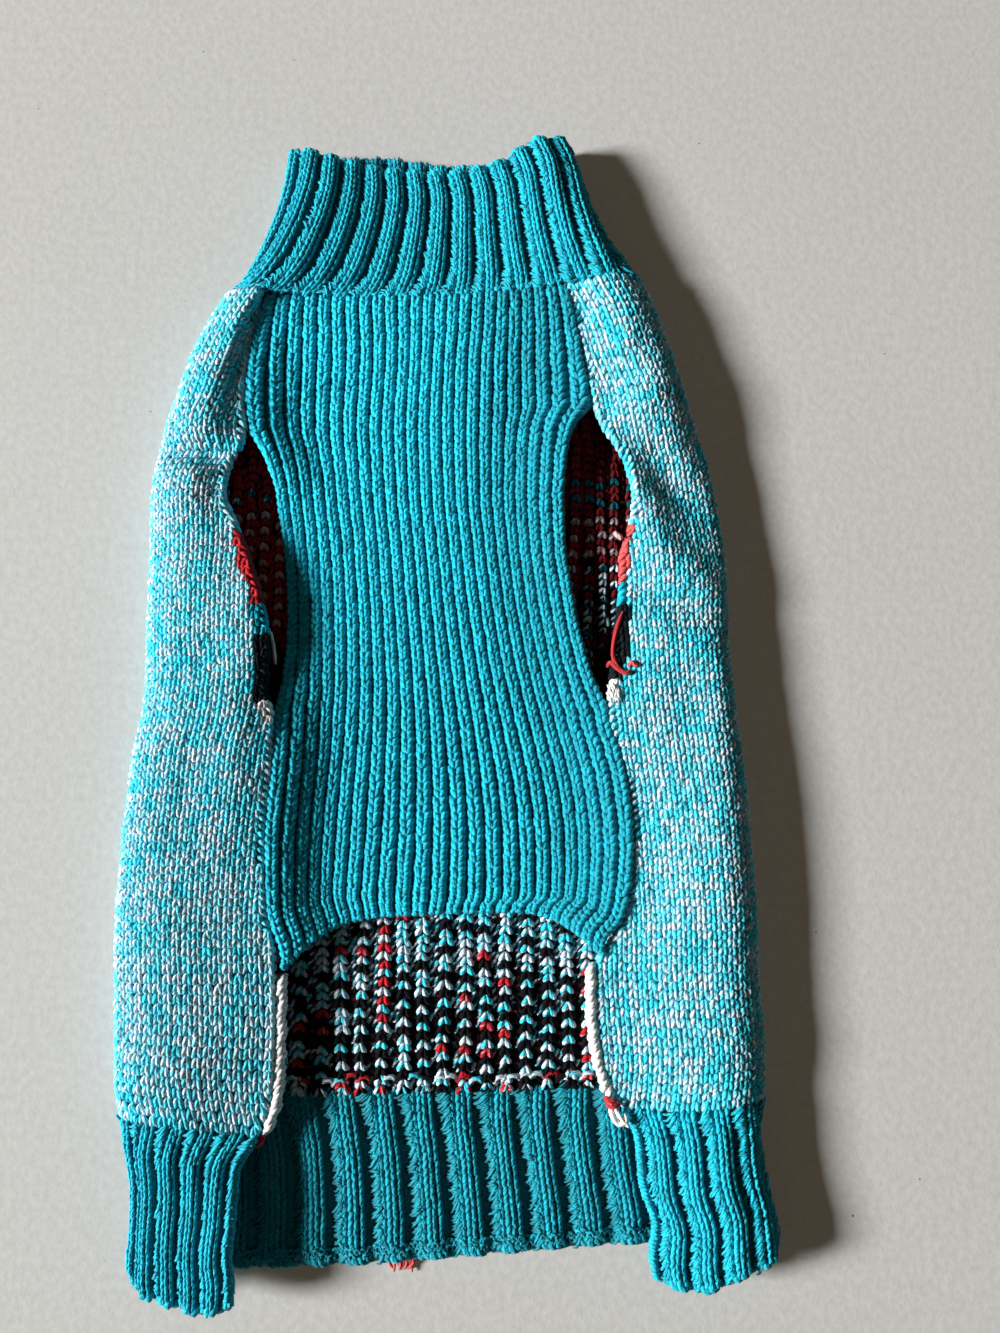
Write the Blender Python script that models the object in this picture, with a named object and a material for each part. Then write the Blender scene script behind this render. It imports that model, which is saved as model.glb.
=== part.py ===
"""Knitted dog sweater, laid out flat: it lies on its back panel, with the belly panel on top.

The frame has X to the right, Y towards the collar and Z up, and the table is at z = 0.
Every cloth piece is a wall between rows of outside points and rows of inside points.
Sizes in the tables are in millimetres and are turned into metres when a piece is built.
"""
import math
from collections import namedtuple

import bmesh
import bpy

MM = 0.001

# Moves the whole garment so that the origin lies under the middle of its outline
CENTRING = (-0.26, 0.44)

# Cloth
BODY_WALL = 2.6          # marl cloth, two strands thick
RIB_WALL = 2.2           # ribbed cloth in the valley between two ribs
SEAM_GAP = 0.3           # space between pieces that are sewn together
RELIEF_BELLY = 1.5       # how far the narrow belly ribs stand out
RELIEF_WIDE = 1.7        # how far the wide ribs of the collar and the hem stand out

# Ribs
BELLY_RIBS = 24
COLLAR_RIBS = 28         # all round the tube
HEM_RIBS_LEFT = 7        # on the left end, which is folded over
HEM_RIBS_MIDDLE = 12     # on the inside face, between the two folded ends
HEM_RIBS_RIGHT = 6

# Lines that pieces share, as y
COLLAR_Y = 127.0         # collar seam, before its tilt
COLLAR_TILT_FROM = 90.0  # courses of the body follow the collar seam's tilt above this
HEM_Y = -122.0           # hem seam, before its bends
HEM_BEND_FROM = -84.0    # courses of the body follow the hem seam's bends below this
ARCH_FROM = -48.0        # courses of the belly panel follow its arched hem below this
ARCH_TO = -82.0
ARCH_RISE = 12.4

# How far the cloth's rolled sides reach in from the outline, and how many points they take
ROLL_REACH = 12.0
COLLAR_ROLL_REACH = 10.0
FLANK_POINTS = 8
ROLL_POINTS = 7
BASE_POINTS = 11

# Sections of the body from the collar to the hem. left and right are the outline, left_edge
# and right_edge are the long edges of the back panel, and a slit is the width of the leg
# opening between such an edge and the belly panel, 0 where the two are sewn together.
BodySection = namedtuple("BodySection", "y left left_edge left_slit right_slit right_edge right")
BODY_SECTIONS = (
    BodySection(127, -71.0, -59.0, 0.0, 0.0, 39.2, 62.0),
    BodySection(118, -76.4, -61.4, 0.0, 0.0, 41.3, 66.6),
    BodySection(108, -81.2, -63.8, 0.0, 0.0, 43.9, 70.6),
    BodySection(98, -84.6, -65.0, 0.0, 0.0, 45.9, 74.3),
    BodySection(90, -87.0, -65.2, 0.0, 0.8, 47.4, 77.0),
    BodySection(84, -89.0, -64.4, 0.0, 8.1, 49.6, 78.6),
    BodySection(77, -90.6, -65.0, 4.6, 14.4, 53.4, 80.6),
    BodySection(70, -92.1, -69.4, 12.7, 19.0, 57.1, 82.9),
    BodySection(60, -93.2, -69.8, 15.7, 21.7, 59.2, 84.8),
    BodySection(50, -93.1, -65.8, 13.2, 20.3, 58.0, 86.2),
    BodySection(39, -92.9, -61.2, 10.0, 16.7, 55.2, 87.6),
    BodySection(28, -93.0, -57.4, 7.0, 14.8, 55.1, 88.0),
    BodySection(20, -93.1, -55.3, 5.1, 12.0, 53.8, 88.0),
    BodySection(11, -93.0, -54.7, 4.4, 9.0, 52.8, 88.2),
    BodySection(3, -92.8, -54.9, 3.9, 5.8, 52.0, 89.0),
    BodySection(-3, -93.0, -55.0, 3.1, 3.0, 51.5, 89.5),
    BodySection(-9, -93.6, -53.2, 0.0, 0.0, 51.2, 90.0),
    BodySection(-20, -96.0, -53.2, 0.0, 0.0, 54.6, 91.2),
    BodySection(-34, -97.2, -54.1, 0.0, 0.0, 57.4, 92.6),
    BodySection(-48, -98.4, -54.9, 0.0, 0.0, 58.3, 93.6),
    BodySection(-60, -99.0, -54.4, 0.0, 0.0, 57.3, 94.2),
    BodySection(-70, -99.4, -53.3, 0.0, 0.0, 54.8, 94.7),
    BodySection(-78, -99.4, -51.6, 0.0, 0.0, 50.4, 94.8),
    BodySection(-84, -99.2, -51.0, 0.0, 0.0, 46.6, 94.8),
    BodySection(-95, -98.7, -50.7, 0.0, 0.0, 46.4, 95.4),
    BodySection(-106, -98.3, -50.9, 0.0, 0.0, 47.6, 96.0),
    BodySection(-115, -97.7, -52.0, 0.0, 0.0, 50.4, 95.9),
    BodySection(-122, -96.0, -54.8, 0.0, 0.0, 54.6, 95.3),
)
BELLY_CORNER_LEFT = (-48.6, -85.6)
BELLY_CORNER_RIGHT = (48.6, -81.8)

# How the belly's ribs share out its width, from even at 0: wide in the middle, and wide at the left
RibSpread = namedtuple("RibSpread", "y middle left")
RIB_SPREADS = (
    RibSpread(127, -0.04, 0.06),
    RibSpread(104, -0.16, 0.04),
    RibSpread(80, -0.10, 0.0),
    RibSpread(40, 0.0, 0.0),
    RibSpread(0, 0.02, 0.0),
    RibSpread(-40, 0.16, 0.0),
    RibSpread(-84, 0.28, 0.0),
)

# Heights along the body: the top of the rolled sides, the outside of the two flank edges,
# and the underside of the belly panel at its left edge, in its middle and at its right edge.
BodyHeights = namedtuple("BodyHeights", "y crown left_edge right_edge belly_left belly_middle belly_right")
BODY_HEIGHTS = (
    BodyHeights(127, 14.0, 11.0, 11.0, 8.0, 7.8, 8.2),
    BodyHeights(118, 14.4, 11.0, 11.0, 8.0, 7.2, 8.2),
    BodyHeights(104, 14.8, 11.2, 11.4, 8.2, 4.8, 8.6),
    BodyHeights(88, 14.8, 11.6, 12.0, 8.6, 3.4, 8.8),
    BodyHeights(74, 14.0, 11.0, 13.2, 7.0, 3.2, 7.4),
    BodyHeights(56, 14.6, 12.4, 13.0, 4.6, 3.2, 6.2),
    BodyHeights(20, 14.6, 12.2, 12.4, 3.6, 3.0, 5.4),
    BodyHeights(-9, 14.6, 11.6, 11.4, 7.6, 3.0, 7.6),
    BodyHeights(-34, 14.6, 11.6, 11.2, 9.4, 3.2, 8.6),
    BodyHeights(-60, 14.4, 11.4, 11.0, 9.4, 3.4, 9.0),
    BodyHeights(-84, 14.0, 10.8, 10.6, 8.6, 3.8, 8.6),
    BodyHeights(-122, 13.0, 9.6, 9.8, 8.0, 4.0, 8.0),
)
BELLY_EDGE_RISE_WIDTH = 11.0   # how far in from its edges the belly panel comes down

# The largest folds of the flanks. Each is a soft ridge, or a trough where its height is
# less than 0, with its middle at x and y, and it runs at an angle from the X axis.
Fold = namedtuple("Fold", "x y angle length width height")
FOLDS = (
    Fold(-78, 73, -8, 30, 3.6, -4.2),      # pinch beside the top of the left leg opening
    Fold(-80, 84, -12, 26, 6.0, 1.0),      # cloth pushed up above the pinch
    Fold(-79, 60, 6, 28, 7.0, 0.8),        # and below it
    Fold(53, 69, 118, 34, 5.0, 1.8),       # rolled edge beside the right leg opening
    Fold(70, 62, 124, 34, 7.0, -2.6),      # hollow behind the rolled edge
    Fold(70, 26, 162, 34, 5.0, -1.4),      # ripples from the leg opening's lower end
    Fold(72, 12, 168, 34, 5.5, 0.8),
    Fold(-74, 8, -160, 34, 6.0, -1.2),
    Fold(-78, -114, 4, 50, 8.0, 1.2),      # fullness held in by the hem rib
    Fold(74, -110, -4, 46, 8.0, 1.2),
)

# Places round the body section, for the lines that bend round it: 0 is the left flank's
# edge, 1 the crown of the left side, 2 and 3 the two ends of the base, 4 the crown of the
# right side and 5 the right flank's edge. seam and bottom are y on the hem rib.
HemLine = namedtuple("HemLine", "place seam bottom")
HEM_LINES = (
    HemLine(0.0, -134.0, -179.0),
    HemLine(0.5, -131.6, -180.6),
    HemLine(1.0, -129.6, -178.6),
    HemLine(1.5, -128.2, -175.0),
    HemLine(2.0, -124.6, -173.0),
    HemLine(2.3, -123.0, -171.4),
    HemLine(2.6, -122.0, -168.0),
    HemLine(2.85, -120.6, -165.6),
    HemLine(3.0, -121.0, -166.4),
    HemLine(3.5, -123.4, -166.4),
    HemLine(4.0, -124.8, -171.0),
    HemLine(4.5, -126.4, -175.6),
    HemLine(5.0, -126.0, -172.8),
)

# Sections of the hem rib, from its seam at share 0 to its bottom edge at share 1
HemSection = namedtuple("HemSection", "share left left_edge right_edge right crown edge")
HEM_SECTIONS = (
    HemSection(0.0, -96.0, -54.8, 54.6, 95.3, 13.0, 9.7),
    HemSection(0.2, -92.6, -60.0, 57.9, 93.6, 12.7, 9.6),
    HemSection(0.45, -90.6, -60.4, 58.8, 94.6, 12.4, 9.6),
    HemSection(0.7, -90.4, -61.4, 62.4, 96.8, 12.4, 9.8),
    HemSection(0.88, -91.0, -60.2, 61.4, 98.4, 12.5, 10.0),
    HemSection(1.0, -89.4, -60.6, 62.6, 98.6, 12.2, 9.8),
)

# Sections of the collar, from its seam at share 0 to its mouth at share 1. crown is the
# top of its rolled sides and middle its height half way across, both in a valley.
CollarSection = namedtuple("CollarSection", "share left right crown middle")
COLLAR_SECTIONS = (
    CollarSection(0.0, -70.4, 61.4, 13.0, 9.4),
    CollarSection(0.1, -65.4, 57.4, 13.2, 9.4),
    CollarSection(0.22, -61.2, 53.2, 13.4, 9.5),
    CollarSection(0.4, -57.2, 48.6, 13.5, 9.6),
    CollarSection(0.6, -53.8, 44.8, 13.5, 9.7),
    CollarSection(0.8, -51.8, 42.2, 13.6, 9.8),
    CollarSection(1.0, -51.2, 39.2, 13.8, 9.9),
)

# The collar's mouth, as y on its front and on its back, across the tube from 0 to 1
MouthLine = namedtuple("MouthLine", "across front back")
MOUTH_LINES = (
    MouthLine(0.0, 176.6, 176.0),
    MouthLine(0.15, 172.6, 177.2),
    MouthLine(0.35, 168.8, 177.0),
    MouthLine(0.55, 167.8, 174.4),
    MouthLine(0.75, 171.4, 174.6),
    MouthLine(0.9, 178.8, 177.6),
    MouthLine(1.0, 180.0, 179.4),
)

# White chain edging
CHAIN_WIDTH = 3.8
CHAIN_HEIGHT = 3.4
CHAIN_LOOP = 4.6         # length of one loop of the chain
CHAIN_SIDES = 8
CHAIN_LEFT_ENDS = (-88.0, -132.6)
CHAIN_RIGHT_ENDS = (-84.5, -124.6)


def ease(share):
    """Soft step from 0 to 1."""
    share = min(max(share, 0.0), 1.0)
    return share * share * (3 - 2 * share)


def mix(start, end, share):
    return start + (end - start) * share


def read_row(rows, column, at):
    """A table's column at any place, on a smooth curve through its rows."""
    places = [row[0] for row in rows]
    values = [getattr(row, column) for row in rows]
    if places[0] > places[-1]:
        places.reverse()
        values.reverse()
    at = min(max(at, places[0]), places[-1])
    last = len(places) - 1
    index = next(i for i in range(last) if at <= places[i + 1])

    def slope(i):
        """Slope at a row, flat where the column turns back, so that the curve never overshoots."""
        if i in (0, last):
            near = min(i, last - 1)
            return (values[near + 1] - values[near]) / (places[near + 1] - places[near])
        before = (values[i] - values[i - 1]) / (places[i] - places[i - 1])
        after = (values[i + 1] - values[i]) / (places[i + 1] - places[i])
        return 0.0 if before * after <= 0 else 2 * before * after / (before + after)

    span = places[index + 1] - places[index]
    t = (at - places[index]) / span
    bend = t * (1 - t)
    straight = mix(values[index], values[index + 1], ease(t))
    return straight + span * bend * ((1 - t) * slope(index) - t * slope(index + 1))


def collar_seam(x):
    """y of the collar seam, which climbs towards the right shoulder."""
    return 126.5 + 0.05 * x + 0.0009 * x * x


def body_y(y, x):
    """y of a course of the body at x."""
    tilt = max(0.0, (y - COLLAR_TILT_FROM) / (COLLAR_Y - COLLAR_TILT_FROM))
    return y + tilt * (collar_seam(x) - COLLAR_Y)


def fold_height(x, y):
    """How far the folds lift the top of the body."""
    total = 0.0
    for fold in FOLDS:
        turn = math.radians(fold.angle)
        along = (x - fold.x) * math.cos(turn) + (y - fold.y) * math.sin(turn)
        aside = (y - fold.y) * math.cos(turn) - (x - fold.x) * math.sin(turn)
        fade = math.exp(-(2 * along / fold.length) ** 2 - (aside / fold.width) ** 2)
        total += fold.height * fade
    return total


def side_roll(side, reach, crown, step):
    """Rolled side of a flattened tube, from its crown down to the table, as x and z.

    step is -1 on the left side and 1 on the right side.
    """
    centre = side - step * reach
    points = []
    for i in range(1, ROLL_POINTS):
        turn = math.pi * i / ROLL_POINTS
        points.append((centre + step * reach * math.sin(turn), crown / 2 * (1 + math.cos(turn))))
    return points


def top_run(side, edge, reach, crown, edge_height, step):
    """Top of a flank, from its edge out to the crown of its rolled side, as x and z."""
    centre = side - step * reach
    points = []
    for i in range(FLANK_POINTS + 1):
        share = i / FLANK_POINTS
        points.append((mix(edge, centre, share), mix(edge_height, crown, ease(share))))
    return points


def wrapped_section(left, left_edge, right_edge, right, crown, left_height, right_height):
    """Outside of cloth that wraps round the body, from the left flank's edge to the right one.

    Each point is x, z and its place round the section.
    """
    left_top = top_run(left, left_edge, ROLL_REACH, crown, left_height, -1)
    left_side = side_roll(left, ROLL_REACH, crown, -1)
    right_side = side_roll(right, ROLL_REACH, crown, 1)[::-1]
    right_top = top_run(right, right_edge, ROLL_REACH, crown, right_height, 1)[::-1]
    base = []
    for i in range(BASE_POINTS + 1):
        share = i / BASE_POINTS
        base.append((mix(left + ROLL_REACH, right - ROLL_REACH, share), 0.0))
    section = []
    for start, run, inner in ((0, left_top, 0), (1, left_side, 1), (2, base, 0),
                              (3, right_side, 1), (4, right_top, 0)):
        for i, (x, z) in enumerate(run):
            place = start + (i + inner) / (len(run) - 1 + 2 * inner)
            section.append((x, z, place))
    return section


def normals_of(section):
    """Inward normals of a section's points, in the section's plane."""
    normals = []
    last = len(section) - 1
    for i in range(len(section)):
        before = section[max(i - 1, 0)]
        after = section[min(i + 1, last)]
        dx = after[0] - before[0]
        dz = after[1] - before[1]
        length = math.hypot(dx, dz)
        normals.append((-dz / length, dx / length))
    return normals


def walk(section, distances):
    """Points of a section at given distances along it, each as x, z, place and inward normal."""
    normals = normals_of(section)
    reached = [0.0]
    for a, b in zip(section, section[1:]):
        reached.append(reached[-1] + math.hypot(b[0] - a[0], b[1] - a[1]))
    points = []
    for distance in distances:
        distance = min(max(distance, 0.0), reached[-1])
        i = next(k for k in range(len(section) - 1) if distance <= reached[k + 1] + 1e-9)
        share = (distance - reached[i]) / (reached[i + 1] - reached[i])
        x, z, place = (mix(a, b, share) for a, b in zip(section[i], section[i + 1]))
        nx, nz = (mix(a, b, share) for a, b in zip(normals[i], normals[i + 1]))
        length = math.hypot(nx, nz)
        points.append((x, z, place, nx / length, nz / length))
    return points


def clear_scene():
    for old in list(bpy.data.objects):
        bpy.data.objects.remove(old, do_unlink=True)


def make_material(name, colour, roughness):
    material = bpy.data.materials.new(name)
    material.use_nodes = True
    shader = material.node_tree.nodes["Principled BSDF"]
    shader.inputs["Base Color"].default_value = (*colour, 1.0)
    shader.inputs["Roughness"].default_value = roughness
    shader.inputs["Metallic"].default_value = 0.0
    return material


def add_rows(mesh, rows):
    """Vertices for rows of points, centred on the origin and in metres."""
    shift_x, shift_y = CENTRING
    return [[mesh.verts.new(((x + shift_x) * MM, (y + shift_y) * MM, z * MM)) for x, y, z in row]
            for row in rows]


def join_rows(mesh, rows, ring):
    """Faces between neighbouring rows of vertices. A ring also closes each row on itself."""
    for upper, lower in zip(rows, rows[1:]):
        count = len(upper)
        for i in range(count if ring else count - 1):
            j = (i + 1) % count
            mesh.faces.new((upper[i], upper[j], lower[j], lower[i]))


def build_wall(name, outside, inside, material, ring=False):
    """Closed cloth wall between rows of outside points and the same rows of inside points."""
    mesh = bmesh.new()
    outer = add_rows(mesh, outside)
    inner = add_rows(mesh, inside)
    join_rows(mesh, outer, ring)
    join_rows(mesh, inner, ring)
    join_rows(mesh, (outer[0], inner[0]), ring)
    join_rows(mesh, (outer[-1], inner[-1]), ring)
    if not ring:
        for side in (0, -1):
            join_rows(mesh, ([row[side] for row in outer], [row[side] for row in inner]), False)
    finish_mesh(name, mesh, material)


def finish_mesh(name, mesh, material):
    bmesh.ops.recalc_face_normals(mesh, faces=mesh.faces)
    data = bpy.data.meshes.new(name)
    mesh.to_mesh(data)
    mesh.free()
    data.materials.append(material)
    data.shade_smooth()
    data.set_sharp_from_angle(angle=math.radians(50))
    bpy.context.scene.collection.objects.link(bpy.data.objects.new(name, data))


def build_back_panel(material):
    """Body cloth: the back on the table, both rolled sides, and the flanks on top."""
    outside, inside = [], []
    for row in BODY_SECTIONS:
        heights = [read_row(BODY_HEIGHTS, name, row.y) for name in ("crown", "left_edge", "right_edge")]
        section = wrapped_section(row.left, row.left_edge, row.right_edge, row.right, *heights)
        bend = max(0.0, (HEM_BEND_FROM - row.y) / (HEM_BEND_FROM - HEM_Y))
        outer_row, inner_row = [], []
        for (x, z, place), (nx, nz) in zip(section, normals_of(section)):
            y = body_y(row.y, x) + bend * (read_row(HEM_LINES, "seam", place) - HEM_Y)
            y += bend * SEAM_GAP / 2
            lift = fold_height(x, y) * ease(2 * z / heights[0] - 1)
            outer_row.append((x, y, z + lift))
            inner_row.append((x + nx * BODY_WALL, y, z + nz * BODY_WALL + lift))
        outside.append(outer_row)
        inside.append(inner_row)
    build_wall("back_panel", outside, inside, material)


def belly_underside(x, left, right, row):
    """Height of the belly panel's underside: low in the middle, raised where it meets the flanks."""
    from_left = math.exp(-((x - left) / BELLY_EDGE_RISE_WIDTH) ** 2)
    from_right = math.exp(-((x - right) / BELLY_EDGE_RISE_WIDTH) ** 2)
    middle = row.belly_middle
    return middle + (row.belly_left - middle) * from_left + (row.belly_right - middle) * from_right


def rib_columns(ribs, middle, left):
    """Places across a ribbed panel, from 0 to 1, with how far each stands out, from 0 to 1.

    Above 0, middle makes the ribs in the middle wider and left those at the left.
    """
    columns = [(0.0, 0.0)]
    for rib in range(ribs):
        columns += [((rib + 0.28) / ribs, 1.0), ((rib + 0.72) / ribs, 1.0), ((rib + 1) / ribs, 0.0)]
    return [(share - middle * math.sin(2 * math.pi * share) / (2 * math.pi)
             + left * math.sin(math.pi * share) / math.pi, relief) for share, relief in columns]


def build_belly_panel(material):
    """Ribbed panel between the flanks, with its arched hem."""
    rows = []
    for row in BODY_SECTIONS:
        if row.y > BELLY_CORNER_LEFT[1]:
            left = row.left_edge + max(row.left_slit, SEAM_GAP)
            right = row.right_edge - max(row.right_slit, SEAM_GAP)
            rows.append(((left, row.y), (right, row.y)))
    rows.append((BELLY_CORNER_LEFT, BELLY_CORNER_RIGHT))
    outside, inside = [], []
    for (left, left_y), (right, right_y) in rows:
        outer_row, inner_row = [], []
        spread = [read_row(RIB_SPREADS, name, left_y) for name in ("middle", "left")]
        for share, relief in rib_columns(BELLY_RIBS, *spread):
            x = mix(left, right, share)
            level = mix(left_y, right_y, share)
            low = max(0.0, (ARCH_FROM - level) / (ARCH_FROM - ARCH_TO))
            arch = ARCH_RISE * low ** 1.5 * (1 - abs(2 * share - 1) ** 4.5)
            y = body_y(level, x) + arch
            heights = BodyHeights(level, 0, 0, 0, *(read_row(BODY_HEIGHTS, name, level) for name in
                                                   ("belly_left", "belly_middle", "belly_right")))
            z = belly_underside(x, left, right, heights)
            inner_row.append((x, y, z))
            outer_row.append((x, y, z + RIB_WALL + RELIEF_BELLY * relief))
        outside.append(outer_row)
        inside.append(inner_row)
    build_wall("belly_panel", outside, inside, material)


def collar_section(row):
    """Outside of the collar tube in its valleys, a closed run from the right end of its base.

    It passes the right side, the front, the left side and the base. Each point is x, z and its
    place: 0 to 1 is the right side, 1 to 2 the front, 2 to 3 the left side and 3 to 4 the base.
    """
    right_crown = row.right - COLLAR_ROLL_REACH
    left_crown = row.left + COLLAR_ROLL_REACH
    right_side = side_roll(row.right, COLLAR_ROLL_REACH, row.crown, 1)[::-1]
    left_side = side_roll(row.left, COLLAR_ROLL_REACH, row.crown, -1)
    section = [(right_crown, 0.0, 0.0)]
    for i, (x, z) in enumerate(right_side):
        section.append((x, z, (i + 1) / ROLL_POINTS))
    for i in range(BASE_POINTS * 2 + 1):
        share = i / (BASE_POINTS * 2)
        rise = abs(2 * share - 1) ** 2.4
        section.append((mix(right_crown, left_crown, share), mix(row.middle, row.crown, rise), 1 + share))
    for i, (x, z) in enumerate(left_side):
        section.append((x, z, 2 + (i + 1) / ROLL_POINTS))
    for i in range(BASE_POINTS + 1):
        share = i / BASE_POINTS
        section.append((mix(left_crown, right_crown, share), 0.0, 3 + share))
    return section


def build_collar(material):
    """Ribbed tube with its mouth away from the body. Its underside lies flat."""
    steps = ((0.0, 0.0), (0.22, 0.0), (0.34, 1.0), (0.66, 1.0), (0.78, 0.0))
    columns = [((rib + step) / COLLAR_RIBS, relief) for rib in range(COLLAR_RIBS) for step, relief in steps]
    outside, inside = [], []
    for row in COLLAR_SECTIONS:
        section = collar_section(row)
        length = sum(math.hypot(b[0] - a[0], b[1] - a[1]) for a, b in zip(section, section[1:]))
        points = walk(section, [share * length for share, relief in columns])
        outer_row, inner_row = [], []
        for (x, z, place, nx, nz), (share, relief) in zip(points, columns):
            across = (x - row.left) / (row.right - row.left)
            front = ease(place) * (1 - ease(place - 2))
            mouth = mix(read_row(MOUTH_LINES, "back", across), read_row(MOUTH_LINES, "front", across), front)
            y = mix(collar_seam(x) + SEAM_GAP, mouth, row.share)
            out = RELIEF_WIDE * relief * ease(z / row.crown * 2)
            outer_row.append((x - nx * out, y, max(z - nz * out, 0.0)))
            inner_row.append((x + nx * RIB_WALL, y, z + nz * RIB_WALL))
        outside.append(outer_row)
        inside.append(inner_row)
    build_wall("collar", outside, inside, material, ring=True)


def build_hem_rib(material):
    """Ribbed band below the back panel. Its ends are folded over with the flanks."""
    outside, inside = [], []
    for row in HEM_SECTIONS:
        section = wrapped_section(row.left, row.left_edge, row.right_edge, row.right,
                                  row.crown, row.edge, row.edge)
        lengths = [0.0]
        for a, b in zip(section, section[1:]):
            lengths.append(lengths[-1] + math.hypot(b[0] - a[0], b[1] - a[1]))
        base_start = next(d for d, point in zip(lengths, section) if point[2] >= 2)
        base_end = next(d for d, point in zip(lengths, section) if point[2] >= 3)
        columns = hem_columns(section, lengths, base_start, base_end)
        points = walk(section, [column[0] for column in columns])
        outer_row, inner_row = [], []
        for (x, z, place, nx, nz), (distance, out_relief, in_relief) in zip(points, columns):
            seam = read_row(HEM_LINES, "seam", place) - SEAM_GAP / 2
            y = mix(seam, read_row(HEM_LINES, "bottom", place), row.share)
            out = RELIEF_WIDE * out_relief * ease(3 * z / row.crown)
            thick = RIB_WALL + RELIEF_WIDE * in_relief
            outer_row.append((x - nx * out, y, max(z - nz * out, 0.0)))
            inner_row.append((x + nx * thick, y, z + nz * thick))
        outside.append(outer_row)
        inside.append(inner_row)
    build_wall("hem_rib", outside, inside, material)


def hem_columns(section, lengths, base_start, base_end):
    """Distances round the hem's section, each with its outer and its inner relief.

    The folded ends carry their ribs outside. Between them the inside of the band shows, and
    its ribs stand up from that face.
    """
    total = lengths[-1]
    steps = ((0.0, 0.0), (0.25, 1.0), (0.6, 1.0), (0.85, 0.0))
    left_steps = ((0.2, 0.0), (0.4, 0.0), (0.62, 1.0), (0.97, 1.0))
    right_steps = ((0.1, 1.0), (0.45, 1.0), (0.67, 0.0), (0.87, 0.0))
    columns = [(0.0, 0.0, 0.0)]
    for rib in range(HEM_RIBS_LEFT):
        columns += [((rib + step) / HEM_RIBS_LEFT * base_start, relief, 0.0) for step, relief in left_steps]
    for rib in range(HEM_RIBS_MIDDLE + 2):
        span = (base_end - base_start) / (HEM_RIBS_MIDDLE + 2)
        columns += [(base_start + (rib + step) * span, 0.0, relief) for step, relief in steps]
    for rib in range(HEM_RIBS_RIGHT):
        span = (total - base_end) / HEM_RIBS_RIGHT
        columns += [(base_end + (rib + step) * span, relief, 0.0) for step, relief in right_steps]
    columns.append((total, 0.0, 0.0))
    return columns


def build_chain(name, ends, side, material):
    """White chain edging beside a flank's edge, thicker in the middle of each loop."""
    start, end = ends
    loops = round((start - end) / CHAIN_LOOP)
    rows = []
    for i in range(2 * loops + 1):
        y = mix(start, end, i / (2 * loops))
        column = "left_edge" if side < 0 else "right_edge"
        edge = chain_edge(column, y)
        height = read_row(BODY_HEIGHTS, column, y) - BODY_WALL / 2
        swell = 1.0 if i % 2 else 0.8
        if i in (0, 2 * loops):
            swell = 0.45
        x = edge - side * (SEAM_GAP + CHAIN_WIDTH / 2)
        row = []
        for k in range(CHAIN_SIDES):
            turn = 2 * math.pi * k / CHAIN_SIDES
            row.append((x + swell * CHAIN_WIDTH / 2 * math.cos(turn), y,
                        height + swell * CHAIN_HEIGHT / 2 * math.sin(turn)))
        rows.append(row)
    mesh = bmesh.new()
    rings = add_rows(mesh, rows)
    join_rows(mesh, rings, True)
    mesh.faces.new(rings[0])
    mesh.faces.new(rings[-1])
    finish_mesh(name, mesh, material)


def chain_edge(column, y):
    """x of a flank's edge at y, where the flank's courses bend towards the hem seam."""
    place = 0.0 if column == "left_edge" else 5.0
    seam = read_row(HEM_LINES, "seam", place)
    share = (HEM_BEND_FROM - y) / (HEM_BEND_FROM - seam)
    return read_row(BODY_SECTIONS, column, mix(HEM_BEND_FROM, HEM_Y, max(0.0, share)))


clear_scene()
teal = make_material("teal_yarn", (0.010, 0.362, 0.430), 0.85)
marl = make_material("marl_yarn", (0.235, 0.560, 0.640), 0.85)
white = make_material("white_yarn", (0.780, 0.790, 0.800), 0.85)
build_back_panel(marl)
build_belly_panel(teal)
build_collar(teal.copy())
build_hem_rib(teal.copy())
build_chain("edge_chain_left", CHAIN_LEFT_ENDS, -1, white)
build_chain("edge_chain_right", CHAIN_RIGHT_ENDS, 1, white.copy())
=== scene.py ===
"""Looks of the knitted dog sweater: thin cloth walls with every stitch of the shown face as yarn.

Sizes are in millimetres and are turned into metres when a mesh is made.
"""

import math
from collections import namedtuple

import bpy
import numpy as np
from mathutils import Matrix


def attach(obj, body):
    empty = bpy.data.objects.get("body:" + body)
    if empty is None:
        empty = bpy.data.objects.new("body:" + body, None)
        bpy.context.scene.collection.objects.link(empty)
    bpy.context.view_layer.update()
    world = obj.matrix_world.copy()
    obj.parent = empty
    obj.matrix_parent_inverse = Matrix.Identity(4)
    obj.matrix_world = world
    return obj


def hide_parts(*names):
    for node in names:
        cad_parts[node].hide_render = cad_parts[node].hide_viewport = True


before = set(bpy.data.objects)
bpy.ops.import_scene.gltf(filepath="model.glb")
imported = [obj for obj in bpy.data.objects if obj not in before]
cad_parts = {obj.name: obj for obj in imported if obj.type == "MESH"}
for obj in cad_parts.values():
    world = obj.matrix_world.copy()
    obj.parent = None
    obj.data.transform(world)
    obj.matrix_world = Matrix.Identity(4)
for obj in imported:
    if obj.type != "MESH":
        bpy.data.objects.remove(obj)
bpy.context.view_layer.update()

MM = 0.001
TAU = 2 * math.pi


def rows_of(kind, rows):
    """A table whose rows' numbers have names."""
    return tuple(kind(*row) for row in rows)



# Moves the whole garment, as in the solids, so that the origin lies under its outline's middle
CENTRING = (-0.26, 0.44)

# Cloth: how thick the walls are, the gap at a seam, and how far a wide rib's stitches stand out
BODY_WALL = 2.6
RIB_WALL = 2.2
SEAM_GAP = 0.3
RELIEF_WIDE = 2.2

# Ribs
BELLY_RIBS = 24
COLLAR_RIBS = 28
HEM_RIBS_MIDDLE = 14

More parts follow.
